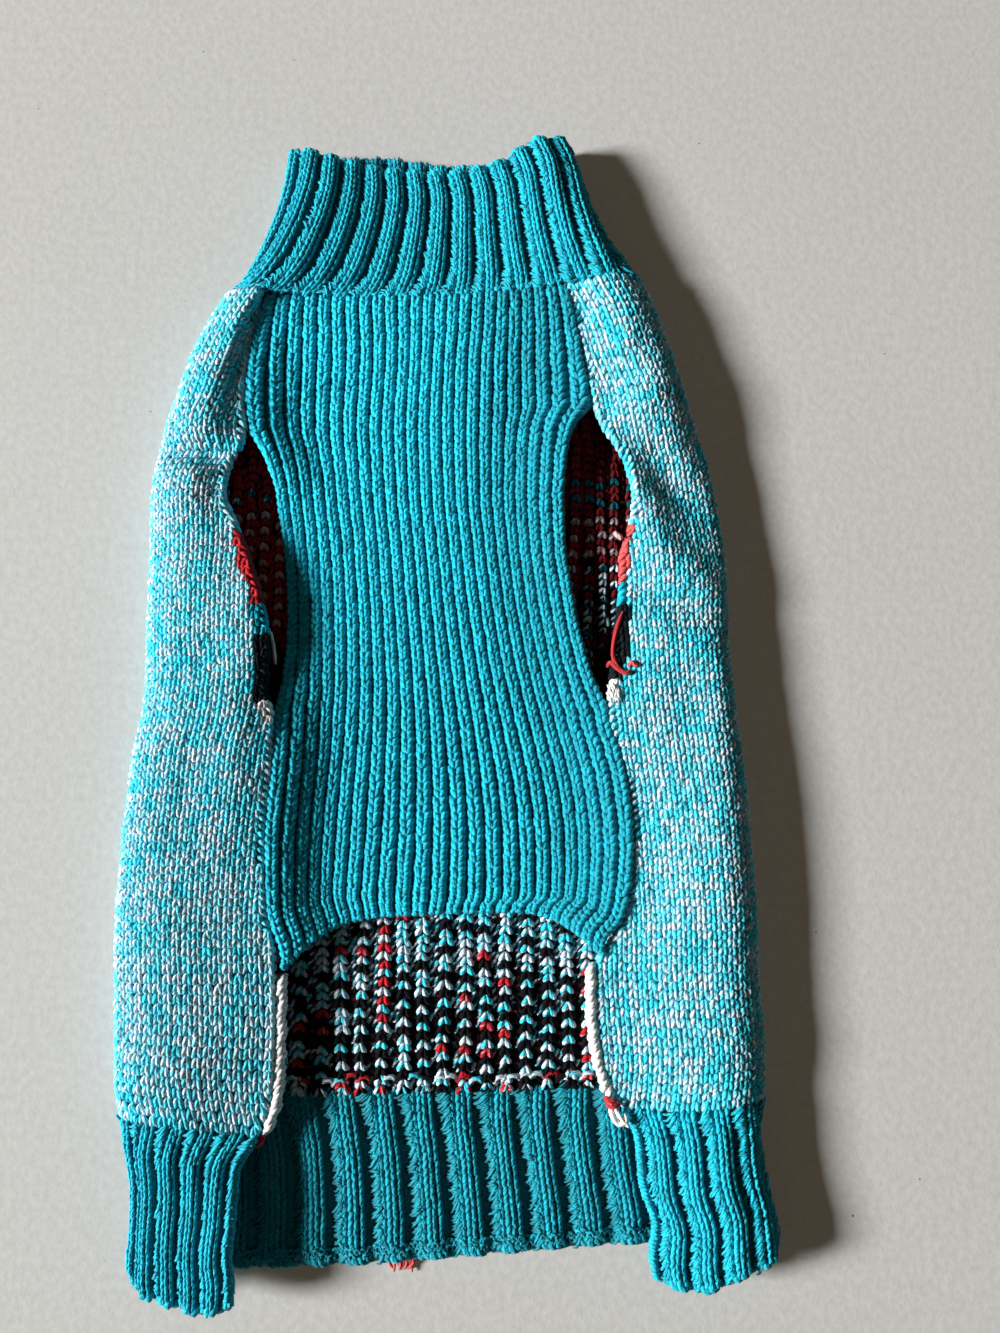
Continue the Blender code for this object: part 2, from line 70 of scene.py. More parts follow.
# Lines that pieces share, as y
COLLAR_Y = 127.0
COLLAR_TILT_FROM = 90.0
COLLAR_SEAM_MIDDLE = 126.5
COLLAR_SEAM_SLANT = 0.05
COLLAR_SEAM_BEND = 0.0009
HEM_Y = -122.0
HEM_BEND_FROM = -84.0
ARCH_FROM = -48.0
ARCH_TO = -82.0
ARCH_RISE = 12.4
ARCH_ONSET = 1.5              # how late the arch comes in towards the foot
ARCH_POWER = 4.5              # how straight it is between its two ends
CORNER_FROM = -70.0
CALM_FOOT = -72.0             # below it the belly's calm edges go no further in

# How far the rolled sides reach in, and how many points a section has on a flank, on such a side
# and on the table
ROLL_REACH = 12.0
COLLAR_ROLL_REACH = 10.0
FLANK_POINTS = 22
ROLL_POINTS = 16
BASE_POINTS = 24

# Rows and columns of the grids that the walls are made of, and rows of those that hold the stitches
BODY_GRID = 91
COLLAR_ROWS = 27
HEM_ROWS = 15
HEM_STITCH_ROWS = 29

# Sections of the body from the collar to the hem, as in the solids
BodySection = namedtuple("BodySection", "y left left_edge left_slit right_slit right_edge right")
BODY_SECTIONS = rows_of(BodySection, (
    (127, -71.0, -59.0, 0.0, 0.0, 39.2, 62.0),
    (118, -76.4, -61.4, 0.0, 0.0, 41.3, 66.6),
    (108, -81.2, -63.8, 0.0, 0.0, 43.9, 70.6),
    (98, -84.6, -65.0, 0.0, 0.0, 45.9, 74.3),
    (90, -87.0, -65.2, 0.0, 0.8, 47.4, 77.0),
    (84, -89.0, -64.4, 0.0, 8.1, 49.6, 78.6),
    (77, -90.6, -65.0, 4.6, 14.4, 53.4, 80.6),
    (70, -92.1, -69.4, 12.7, 19.0, 57.1, 82.9),
    (60, -93.2, -69.8, 15.7, 21.7, 59.2, 84.8),
    (50, -93.1, -65.8, 13.2, 20.3, 58.0, 86.2),
    (39, -92.9, -61.2, 10.0, 16.7, 55.2, 87.6),
    (28, -93.0, -57.4, 7.0, 14.8, 55.1, 88.0),
    (20, -93.1, -55.3, 5.1, 12.0, 53.8, 88.0),
    (11, -93.0, -54.7, 4.4, 9.0, 52.8, 88.2),
    (3, -92.8, -54.9, 3.9, 5.8, 52.0, 89.0),
    (-3, -93.0, -55.0, 3.1, 3.0, 51.5, 89.5),
    (-9, -93.6, -53.2, 0.0, 0.0, 51.2, 90.0),
    (-20, -96.0, -53.2, 0.0, 0.0, 54.6, 91.2),
    (-34, -97.2, -54.1, 0.0, 0.0, 57.4, 92.6),
    (-48, -98.4, -54.9, 0.0, 0.0, 58.3, 93.6),
    (-60, -99.0, -54.4, 0.0, 0.0, 57.3, 94.2),
    (-70, -99.4, -53.3, 0.0, 0.0, 54.8, 94.7),
    (-78, -99.4, -51.6, 0.0, 0.0, 50.4, 94.8),
    (-84, -99.2, -51.0, 0.0, 0.0, 46.6, 94.8),
    (-95, -98.7, -50.7, 0.0, 0.0, 46.4, 95.4),
    (-106, -98.3, -50.9, 0.0, 0.0, 47.6, 96.0),
    (-115, -97.7, -52.0, 0.0, 0.0, 50.4, 95.9),
    (-122, -96.0, -54.8, 0.0, 0.0, 54.6, 95.3),
))
BELLY_CORNER_LEFT = (-48.6, -85.6)
BELLY_CORNER_RIGHT = (48.6, -81.8)

BodyHeights = namedtuple("BodyHeights", "y crown left_edge right_edge belly_left belly_middle belly_right")
BODY_HEIGHTS = rows_of(BodyHeights, (
    (127, 14.0, 11.0, 11.0, 8.0, 7.8, 8.2),
    (118, 14.4, 11.0, 11.0, 8.0, 7.2, 8.2),
    (104, 14.8, 11.2, 11.4, 8.2, 4.8, 8.6),
    (88, 14.8, 11.6, 12.0, 8.6, 3.4, 8.8),
    (74, 14.0, 11.0, 13.2, 7.0, 3.2, 7.4),
    (56, 14.6, 12.4, 13.0, 4.6, 3.2, 6.2),
    (20, 14.6, 12.2, 12.4, 3.6, 3.0, 5.4),
    (-9, 14.6, 11.6, 11.4, 7.6, 3.0, 7.6),
    (-34, 14.6, 11.6, 11.2, 9.4, 3.2, 8.6),
    (-60, 14.4, 11.4, 11.0, 9.4, 3.4, 9.0),
    (-84, 14.0, 10.8, 10.6, 8.6, 3.8, 8.6),
    (-122, 13.0, 9.6, 9.8, 8.0, 4.0, 8.0),
))
BELLY_EDGE_RISE_WIDTH = 11.0
BELLY_EDGE_FADE = 0.10        # share of the width over which the bends of the edges fade
BELLY_LEAST_HEIGHT = 2.9      # keeps the belly panel clear of the inside
LEFT_DIP = (24.0, 34.0)       # y of the dip beside the left leg opening, and half its length

# Folds of the flanks, the solids' own first and then finer creases of the cloth
Fold = namedtuple("Fold", "x y angle length width height")
FOLDS = rows_of(Fold, (
    (-78, 73, -8, 30, 3.6, -4.2),
    (-80, 84, -12, 26, 6.0, 1.0),
    (-79, 60, 6, 28, 7.0, 0.8),
    (53, 69, 118, 34, 5.0, 1.8),
    (70, 62, 124, 34, 7.0, -2.6),
    (70, 26, 162, 34, 5.0, -1.4),
    (72, 12, 168, 34, 5.5, 0.8),
    (-74, 8, -160, 34, 6.0, -1.2),
    (-78, -114, 4, 50, 8.0, 1.2),
    (74, -110, -4, 46, 8.0, 1.2),
    (-70, 104, -60, 30, 5.0, -0.7),
    (60, 104, 52, 34, 6.0, -0.8),
    (64, 92, 40, 26, 4.0, 0.6),
    (76, 44, 150, 24, 4.0, -0.8),
    (-80, 34, -170, 28, 5.0, 0.5),
    (-76, -30, 80, 44, 7.0, -0.5),
    (78, -40, 96, 50, 8.0, -0.5),
    (-82, -70, 100, 40, 7.0, 0.4),
    (70, -76, 82, 36, 6.0, 0.4),
    (76, 0, 92, 60, 10.0, -2.2),
    (62, 58, 100, 46, 7.0, 2.0),
    (82, 56, 98, 50, 9.0, -1.8),
    (-66, 0, 88, 300, 15.0, 2.0),
    (-59, 14, 88, 116, 8.0, 2.4),
    (-55, -95, 90, 110, 10.0, 2.2),
))

# Places round the body section and the hem rib's two long edges, as in the solids
HemLine = namedtuple("HemLine", "place seam bottom")
HEM_LINES = rows_of(HemLine, (
    (0.0, -134.0, -179.0),
    (0.5, -131.6, -180.6),
    (1.0, -129.6, -178.6),
    (1.5, -128.2, -175.0),
    (2.0, -124.6, -173.0),
    (2.3, -123.0, -171.4),
    (2.6, -122.0, -168.0),
    (2.85, -120.6, -165.6),
    (3.0, -121.0, -166.4),
    (3.5, -123.4, -166.4),
    (4.0, -124.8, -171.0),
    (4.5, -126.4, -175.6),
    (5.0, -126.0, -172.8),
))
HemSection = namedtuple("HemSection", "share left left_edge right_edge right crown edge")
HEM_SECTIONS = rows_of(HemSection, (
    (0.0, -96.0, -54.8, 54.6, 95.3, 13.0, 9.7),
    (0.2, -92.6, -60.0, 57.9, 93.6, 12.7, 9.6),
    (0.45, -90.6, -60.4, 58.8, 94.6, 12.4, 9.6),
    (0.7, -90.4, -61.4, 62.4, 96.8, 12.4, 9.8),
    (0.88, -91.0, -60.2, 61.4, 98.4, 12.5, 10.0),
    (1.0, -89.4, -60.6, 62.6, 98.6, 12.2, 9.8),
))

HEM_LEFT_RISE = (1.4, 4.2)    # how far the left end's edge stands up at the seam, and below it
HEM_SWAY = 4.0                # how far the ribs left of the middle bend to the right below

# Sections of the collar, as in the solids but flatter at its mouth, and the mouth's line
CollarSection = namedtuple("CollarSection", "share left right crown middle")
COLLAR_SECTIONS = rows_of(CollarSection, (
    (0.0, -70.4, 61.4, 13.0, 9.4),
    (0.1, -65.4, 57.4, 13.2, 9.4),
    (0.22, -61.2, 53.2, 13.4, 9.5),
    (0.4, -57.2, 48.6, 13.5, 9.6),
    (0.6, -53.8, 44.8, 13.5, 9.7),
    (0.8, -51.8, 42.2, 12.9, 9.4),
    (1.0, -51.2, 39.2, 10.4, 8.8),
))
COLLAR_SAG_POWER = 2.4        # how wide the sag between its two rolled sides is
MouthLine = namedtuple("MouthLine", "across front back")
MOUTH_LINES = rows_of(MouthLine, (
    (0.0, 176.6, 176.0),
    (0.15, 172.6, 177.2),
    (0.35, 168.8, 177.0),
    (0.55, 167.8, 174.4),
    (0.75, 171.4, 174.6),
    (0.9, 178.8, 177.6),
    (1.0, 180.0, 179.4),
))

# How the belly's ribs share out its width: wide in the middle, and wide on the left
RibSpread = namedtuple("RibSpread", "y middle left")
RIB_SPREADS = rows_of(RibSpread, (
    (127, -0.04, 0.06),
    (104, -0.16, 0.04),
    (80, -0.10, 0.0),
    (40, 0.0, 0.0),
    (0, 0.02, 0.0),
    (-40, 0.16, 0.0),
    (-84, 0.28, 0.0),
))

# Knit
FLANK_WALE = 2.95         # width of one column of stitches
FLANK_COURSES = 108
BELLY_COURSES = 96
COLLAR_COURSES = 23
HEM_COURSES = 21
MARL_WALES = 130          # columns of the walls' drawn cloth
SPECKLED_WALES = 90
FLANK_STRAND = 0.28       # radius of a strand, in columns
INSIDE_STRAND = 0.80      # radii of strands, in millimetres
BELLY_STRAND = 1.0
CHAIN_STRAND = 1.2
CHAIN_CORE = 1.4
EDGE_STRANDS = {"flank": 0.95, "belly": 1.1, "collar": 1.1, "hem": 1.25, "hem_middle": 1.2, "hem_side": 0.85}
COURSE_GROWTH = 0.07      # how much taller the courses get towards the hem
SPECKLED_WALE = 6.3
SPECKLED_COURSE = 2.62
SLIT_WALE = 4.5
SPECKLED_SEAM_WIDTH = 3.9

# Colours of yarn, linear
TEAL = (0.006, 0.500, 0.665)
# Darker teal of the hem's middle: painted shade
HEM_INSIDE_SHADED_TEAL = (0.003, 0.350, 0.460)
MARL_TEAL = (0.045, 0.680, 0.850)
MARL_WHITE = (0.60, 0.765, 0.87)
# Teal of the walls that show between the strands, darker than the yarn: painted shade
TEAL_PAINTED_SHADE = (0.003, 0.380, 0.500)
TEAL_DEEP = (0.001, 0.100, 0.135)
# Darker teal of the marl wall between the strands: painted shade
MARL_PAINTED_SHADE = (0.020, 0.420, 0.530)
INSIDE_WHITE = (0.62, 0.74, 0.83)
# Red of the right leg opening's inside, darkened: painted shade
SLIT_SHADED_RED = (0.30, 0.012, 0.020)
EDGING_WHITE = (0.94, 0.94, 0.93)
RED = (0.50, 0.016, 0.026)
# Red darkened for the insides of the openings: painted shade
SHADED_RED = (0.17, 0.008, 0.012)
CORAL = (0.74, 0.10, 0.10)
PINK = (0.72, 0.42, 0.42)
# Pink darkened for the right leg opening's inside: painted shade
SHADED_PINK = (0.46, 0.26, 0.27)
BLACK = (0.003, 0.003, 0.005)

# Edging chains beside the flanks' edges. The right one ends in a knot, a little above its solid's end
CHAIN_WIDTH = 3.8
CHAIN_LOOP = 4.3
CHAIN_REACH = 2.1             # of its loops from its middle
CHAIN_ROWS = 40
CHAIN_CORE_RINGS = 24
CHAIN_LEFT_ENDS = (-88.0, -132.6)
CHAIN_RIGHT_ENDS = (-84.5, -121.8)

# Camera
CAMERA_TILT = math.radians(6.0)
CAMERA_DISTANCE = 320.3
CAMERA_AIM = (16.74, 7.44)
CAMERA_LENS = 27.03
CAMERA_SENSOR = 36.0

# Lights, in metres and watts: a wide window low on the left, a faint ceiling and a pale room
Light = namedtuple("Light", "name place size power colour")
LIGHTS = (
    Light("window", (-5.27, -0.24, 2.52), 1.24, 760.0, (1.0, 0.99, 0.965)),
    Light("ceiling", (0.25, -0.2, 1.6), 1.6, 0.5, (1.0, 0.92, 0.80)),
)
ROOM_COLOUR = (1.0, 0.88, 0.72)
ROOM_STRENGTH = 0.034

draw = np.random.default_rng(41)


# ---------------------------------------------------------------- camera and light


def place_camera():
    """Camera over the garment, tilted a little towards the collar."""
    camera = bpy.data.cameras.new("camera")
    camera.lens = CAMERA_LENS
    camera.sensor_width = CAMERA_SENSOR
    camera.clip_start = 0.01
    camera.clip_end = 20.0
    holder = bpy.data.objects.new("camera", camera)
    x, y = CAMERA_AIM
    holder.location = (x * MM, (y - CAMERA_DISTANCE * math.sin(CAMERA_TILT)) * MM,
                       CAMERA_DISTANCE * math.cos(CAMERA_TILT) * MM)
    holder.rotation_euler = (CAMERA_TILT, 0.0, 0.0)
    bpy.context.scene.collection.objects.link(holder)
    bpy.context.scene.camera = holder


def light_the_room():
    """Square lights that face the garment, and a pale room."""
    for row in LIGHTS:
        light = bpy.data.lights.new(row.name, "AREA")
        light.shape = "RECTANGLE"
        light.size = light.size_y = row.size
        light.energy = row.power
        light.color = row.colour
        holder = bpy.data.objects.new(row.name, light)
        holder.location = row.place
        x, y, z = row.place
        holder.rotation_euler = (math.atan2(math.hypot(x, y), z), 0.0, math.atan2(x, -y))
        bpy.context.scene.collection.objects.link(holder)
    world = bpy.data.worlds.new("room")
    world.use_nodes = True
    background = world.node_tree.nodes["Background"]
    background.inputs["Color"].default_value = (*ROOM_COLOUR, 1.0)
    background.inputs["Strength"].default_value = ROOM_STRENGTH
    bpy.context.scene.world = world
    bpy.context.scene.view_settings.view_transform = "Standard"


# ---------------------------------------------------------------- the lie of the cloth


def ease(share):
    """Soft step from 0 to 1."""
    share = min(max(share, 0.0), 1.0)
    return share * share * (3 - 2 * share)


def soft_step(shares):
    """Soft step from 0 to 1 for each number of an array."""
    shares = np.clip(shares, 0.0, 1.0)
    return shares * shares * (3 - 2 * shares)


def mix(start, end, share):
    """The value at a share of the way from start to end."""
    return start + (end - start) * share


def read_row(rows, column, at):
    """A table's column at any place, on a smooth curve through its rows."""
    places = [row[0] for row in rows]
    values = [getattr(row, column) for row in rows]
    if places[0] > places[-1]:
        places.reverse()
        values.reverse()
    at = min(max(at, places[0]), places[-1])
    last = len(places) - 1
    index = next(i for i in range(last) if at <= places[i + 1])

    def slope(i):
        if i in (0, last):
            near = min(i, last - 1)
            return (values[near + 1] - values[near]) / (places[near + 1] - places[near])
        before = (values[i] - values[i - 1]) / (places[i] - places[i - 1])
        after = (values[i + 1] - values[i]) / (places[i + 1] - places[i])
        return 0.0 if before * after <= 0 else 2 * before * after / (before + after)

    span = places[index + 1] - places[index]
    t = (at - places[index]) / span
    bend = t * (1 - t)
    straight = mix(values[index], values[index + 1], ease(t))
    return straight + span * bend * ((1 - t) * slope(index) - t * slope(index + 1))


def collar_seam(x):
    """y of the seam between the body and the collar at x."""
    return COLLAR_SEAM_MIDDLE + COLLAR_SEAM_SLANT * x + COLLAR_SEAM_BEND * x * x


def body_y(y, x):
    """y of a course of the body at x."""
    tilt = max(0.0, (y - COLLAR_TILT_FROM) / (COLLAR_Y - COLLAR_TILT_FROM))
    return y + tilt * (collar_seam(x) - COLLAR_Y)


def fold_height(x, y):
    """How far the folds lift the top of the body."""
    total = 0.0
    for fold in FOLDS:
        turn = math.radians(fold.angle)
        along = (x - fold.x) * math.cos(turn) + (y - fold.y) * math.sin(turn)
        aside = (y - fold.y) * math.cos(turn) - (x - fold.x) * math.sin(turn)
        total += fold.height * math.exp(-(2 * along / fold.length) ** 2 - (aside / fold.width) ** 2)
    return total


def side_roll(side, reach, crown, step):
    """Rolled side of a flattened tube, from its crown down to the table, as x and z."""
    centre = side - step * reach
    turns = [math.pi * i / ROLL_POINTS for i in range(1, ROLL_POINTS)]
    return [(centre + step * reach * math.sin(t), crown / 2 * (1 + math.cos(t))) for t in turns]


def top_run(side, edge, reach, crown, edge_height, step):
    """Top of a flank, from its edge out to the crown of its rolled side, as x and z."""
    centre = side - step * reach
    shares = [i / FLANK_POINTS for i in range(FLANK_POINTS + 1)]
    return [(mix(edge, centre, s), mix(edge_height, crown, ease(s))) for s in shares]


def wrapped_section(left, left_edge, right_edge, right, crown, left_height, right_height):
    """Outside of cloth that wraps round the body, as x, z and place, from the left flank's edge."""
    left_top = top_run(left, left_edge, ROLL_REACH, crown, left_height, -1)
    left_side = side_roll(left, ROLL_REACH, crown, -1)
    right_side = side_roll(right, ROLL_REACH, crown, 1)[::-1]
    right_top = top_run(right, right_edge, ROLL_REACH, crown, right_height, 1)[::-1]
    shares = [i / BASE_POINTS for i in range(BASE_POINTS + 1)]
    base = [(mix(left + ROLL_REACH, right - ROLL_REACH, s), 0.0) for s in shares]
    section = []
    for start, run, inner in ((0, left_top, 0), (1, left_side, 1), (2, base, 0),
                              (3, right_side, 1), (4, right_top, 0)):
        for i, (x, z) in enumerate(run):
            section.append((x, z, start + (i + inner) / (len(run) - 1 + 2 * inner)))
    return section


def body_row(y):
    """Outside of the body's cloth at y, as x, y, z and place."""
    heights = [read_row(BODY_HEIGHTS, name, y) for name in ("crown", "left_edge", "right_edge")]
    sizes = [read_row(BODY_SECTIONS, name, y) for name in ("left", "left_edge", "right_edge", "right")]
    bend = max(0.0, (HEM_BEND_FROM - y) / (HEM_BEND_FROM - HEM_Y))
    row = []
    for x, z, place in wrapped_section(*sizes, *heights):
        level = body_y(y, x) + bend * (read_row(HEM_LINES, "seam", place) - HEM_Y + SEAM_GAP / 2)
        lift = fold_height(x, level) * ease(2 * z / heights[0] - 1)
        row.append((x, level, z + lift, place))
    return row


def belly_edges(y):
    """x of the belly panel's two long edges at y."""
    left_edge, left_slit, right_slit, right_edge = (
        read_row(BODY_SECTIONS, name, y) for name in ("left_edge", "left_slit", "right_slit", "right_edge"))
    return left_edge + max(left_slit, SEAM_GAP), right_edge - max(right_slit, SEAM_GAP)


def belly_row(level):
    """Underside of the belly panel at one level, as x, y and z, from its left edge to its right.

    Its middle follows calm edges, and the bends of its real ones soon fade towards it.
    """
    low = max(0.0, (ARCH_FROM - level) / (ARCH_FROM - ARCH_TO))
    lowest = BELLY_CORNER_LEFT[1]
    at = max(level, lowest)
    corner = ease((CORNER_FROM - level) / (CORNER_FROM - lowest))
    corners = (BELLY_CORNER_LEFT[0], BELLY_CORNER_RIGHT[0])
    near = [belly_edges(min(max(at + 5.0 * k, CALM_FOOT), COLLAR_Y)) for k in range(-5, 6)]
    left, right = (mix(x, end, corner) for x, end in zip(belly_edges(at), corners))
    calm_left, calm_right = (mix(x, end, corner) for x, end in zip(np.mean(near, axis=0), corners))
    rise = corner * (BELLY_CORNER_RIGHT[1] - lowest)
    heights = [read_row(BODY_HEIGHTS, name, at) for name in ("belly_left", "belly_middle", "belly_right")]
    middle_share = read_row(RIB_SPREADS, "middle", level)
    left_share = read_row(RIB_SPREADS, "left", level)
    row = []
    for i in range(BELLY_RIBS * 4 + 1):
        rib = i / (BELLY_RIBS * 4)
        share = (rib - middle_share * math.sin(TAU * rib) / TAU
                 + left_share * math.sin(math.pi * rib) / math.pi)
        x = (mix(calm_left, calm_right, share) + (left - calm_left) * math.exp(-share / BELLY_EDGE_FADE)
             + (right - calm_right) * math.exp((share - 1) / BELLY_EDGE_FADE))
        arch = ARCH_RISE * low ** ARCH_ONSET * (1 - abs(2 * share - 1) ** ARCH_POWER)
        y = body_y(level, x) + arch + rise * share
        from_left = math.exp(-((x - left) / BELLY_EDGE_RISE_WIDTH) ** 2)
        from_right = math.exp(-((x - right) / BELLY_EDGE_RISE_WIDTH) ** 2)
        dip = from_left * math.exp(-((level - LEFT_DIP[0]) / LEFT_DIP[1]) ** 4)
        z = heights[1] + (heights[0] - heights[1]) * from_left + (heights[2] - heights[1]) * from_right
        row.append((x, y, max(z - dip, BELLY_LEAST_HEIGHT)))
    return row


def collar_section(row):
    """Outside of the collar tube in its valleys, a closed run from the right end of its base."""
    right_crown = row.right - COLLAR_ROLL_REACH
    left_crown = row.left + COLLAR_ROLL_REACH
    section = [(right_crown, 0.0, 0.0)]
    for i, (x, z) in enumerate(side_roll(row.right, COLLAR_ROLL_REACH, row.crown, 1)[::-1]):
        section.append((x, z, (i + 1) / ROLL_POINTS))
    for i in range(BASE_POINTS * 2 + 1):
        share = i / (BASE_POINTS * 2)
        rise = abs(2 * share - 1) ** COLLAR_SAG_POWER
        section.append((mix(right_crown, left_crown, share), mix(row.middle, row.crown, rise), 1 + share))
    for i, (x, z) in enumerate(side_roll(row.left, COLLAR_ROLL_REACH, row.crown, -1)):
        section.append((x, z, 2 + (i + 1) / ROLL_POINTS))
    for i in range(BASE_POINTS + 1):
        share = i / BASE_POINTS
        section.append((mix(left_crown, right_crown, share), 0.0, 3 + share))
    return section


def collar_row(share):
    """Outside of the collar at one share of its height, as x, y, z, all round."""
    row = CollarSection(share, *(read_row(COLLAR_SECTIONS, name, share)
                                 for name in ("left", "right", "crown", "middle")))
    points = []
    for x, z, place in collar_section(row):
        across = (x - row.left) / (row.right - row.left)
        front = ease(place) * (1 - ease(place - 2))
        mouth = mix(read_row(MOUTH_LINES, "back", across), read_row(MOUTH_LINES, "front", across), front)
        points.append((x, mix(collar_seam(x) + SEAM_GAP, mouth, share), z))
    return points


def hem_row(share):
    """Outside of the hem rib at one share of its height, as x, y, z and place."""
    names = ("left", "left_edge", "right_edge", "right", "crown", "edge")
    left, left_edge, right_edge, right, crown, edge = (read_row(HEM_SECTIONS, n, share) for n in names)
    row = []
    left_height = edge + mix(*HEM_LEFT_RISE, ease(share * 2.5))
    for x, z, place in wrapped_section(left, left_edge, right_edge, right, crown, left_height, edge):
        seam = read_row(HEM_LINES, "seam", place) - SEAM_GAP / 2
        if 2.0 < place < 2.5:
            x += HEM_SWAY * ease(share * 1.5 - 0.4) * math.sin(TAU * (place - 2.0))
        row.append((x, mix(seam, read_row(HEM_LINES, "bottom", place), share), z, place))
    return row


def evenly(row, count, axes=(0, 1, 2)):
    """The same line through a number of points an equal distance apart, measured on these axes."""
    row = np.array(row, dtype=float)
    steps = np.linalg.norm(np.diff(row[:, axes], axis=0), axis=1)
    reached = np.concatenate(([0.0], np.cumsum(steps)))
    places = np.linspace(0.0, reached[-1], count)
    return np.stack([np.interp(places, reached, row[:, k]) for k in range(row.shape[1])], axis=1)


def course_levels(top, bottom, count):
    """y of evenly numbered lines between two courses, where the courses get taller downwards."""
    share = np.linspace(0.0, 1.0, count)
    return top + (bottom - top) * (share + COURSE_GROWTH * share ** 2) / (1 + COURSE_GROWTH)


def unit(vectors):
    """The vectors, each made 1 long."""
    return vectors / np.maximum(np.linalg.norm(vectors, axis=-1, keepdims=True), 1e-9)


class Drape:
    """One face of a cloth panel: a grid of points that is read at any place across and along it.

    Places run from 0 to 1 both ways, and a little past them at its edges. Its normals point up
    at its highest point.
    """

    def __init__(self, rows):
        self.points = np.array(rows, dtype=float)[..., :3]
        normals = np.cross(np.gradient(self.points, axis=1), np.gradient(self.points, axis=0))
        top = np.unravel_index(self.points[..., 2].argmax(), self.points.shape[:2])
        self.normals = unit(normals * (1 if normals[top][2] > 0 else -1))
        self.widths = np.linalg.norm(np.diff(self.points, axis=1), axis=-1).sum(axis=1)
        self.heights = np.linalg.norm(np.diff(self.points, axis=0), axis=-1).sum(axis=0)

    def read(self, grid, across, along):
        """The grid's values at any places, straight between its points."""
        rows, columns = grid.shape[:2]
        x = np.asarray(across, dtype=float) * (columns - 1)
        y = np.asarray(along, dtype=float) * (rows - 1)
        i = np.clip(x.astype(int), 0, columns - 2)
        j = np.clip(y.astype(int), 0, rows - 2)
        a = (x - i)[..., None]
        b = (y - j)[..., None]
        upper = grid[j, i] * (1 - a) + grid[j, i + 1] * a
        lower = grid[j + 1, i] * (1 - a) + grid[j + 1, i + 1] * a
        return upper * (1 - b) + lower * b

    def normal(self, across, along):
        return unit(self.read(self.normals, across, along))

    def at(self, across, along, out):
        """Points at these places, raised out from the face."""
        return self.read(self.points, across, along) + self.normal(across, along) * np.asarray(out)[..., None]

    def edge(self, along):
        """Points on the edge where across is 1."""
        return self.at(np.ones(len(along)), along, np.zeros(len(along)))

    def width(self, along):
        return np.interp(along, np.linspace(0, 1, len(self.widths)), self.widths)

    def height(self, across):
        return np.interp(across, np.linspace(0, 1, len(self.heights)), self.heights)


# ---------------------------------------------------------------- yarn

SIDES = 4
FLATNESS = 0.86           # a strand's height beside its width
TABLE_CLEARANCE = 0.05
BAKE_MARGIN = 0.04        # bare rim of a strand's cell on the map for baking


class Yarn:
    """Strands of one piece: closed tubes with four sides, gathered until they are made a mesh."""

    def __init__(self):
        self.parts = []

    def add(self, centres, ups, radii, colours, plies):
        """centres, ups and colours hold a row of rings for each strand, and plies a phase and share."""
        centres = centres.copy()
        centres[..., 2] = np.maximum(centres[..., 2], radii * FLATNESS + TABLE_CLEARANCE)
        runs = np.gradient(centres, axis=1)
        sides = unit(np.cross(runs, ups))
        tops = unit(np.cross(sides, runs)) * FLATNESS
        corners = np.stack((sides, tops, -sides, -tops), axis=2)
        points = centres[:, :, None] + corners * radii[..., None, None]
        colours = np.broadcast_to(colours, centres.shape)
        plies = np.broadcast_to(plies[:, None], centres.shape[:2] + (2,))
        self.parts.append((points, colours, plies))

    def count(self):
        return sum(len(points) for points, _, _ in self.parts)


def tube_faces(rings):
    """Faces of one tube: its sides from ring to ring, then its two ends."""
    faces = []
    for i in range(rings - 1):
        for k in range(SIDES):
            n = (k + 1) % SIDES
            faces.append((i * SIDES + k, (i + 1) * SIDES + k, (i + 1) * SIDES + n, i * SIDES + n))
    last = (rings - 1) * SIDES
    return np.array(faces + [(0, 1, 2, 3), (last + 3, last + 2, last + 1, last)])


def side_places(rings, rows):
    """Places of the sides' corners on a map: x is 1 all round the tube, and y is 1 for a number of rows."""
    places = []
    for i in range(rings - 1):
        low, high = i / rows, (i + 1) / rows
        for k in range(SIDES):
            here, there = k / SIDES, (k + 1) / SIDES
            places.append(((here, low), (here, high), (there, high), (there, low)))
    return places


def twist_places(rings):
    """Corners' places on the strand's own map, which is 1 long. Each end is a line on it."""
    ends = [tuple((k / SIDES, level) for k in range(SIDES)) for level in (0.0, 1.0)]
    return np.array(side_places(rings, rings - 1) + ends)


def bake_places(rings):
    """Corners' places on a map where a tube's faces lie side by side, its two ends on top."""
    low = (rings - 1) / rings
    ends = []
    for k in (0, 2):
        here, there = k / SIDES, (k + 1.6) / SIDES
        ends.append(((here, low), (here, 1.0), (there, 1.0), (there, low)))
    return np.array(side_places(rings, rings) + ends)


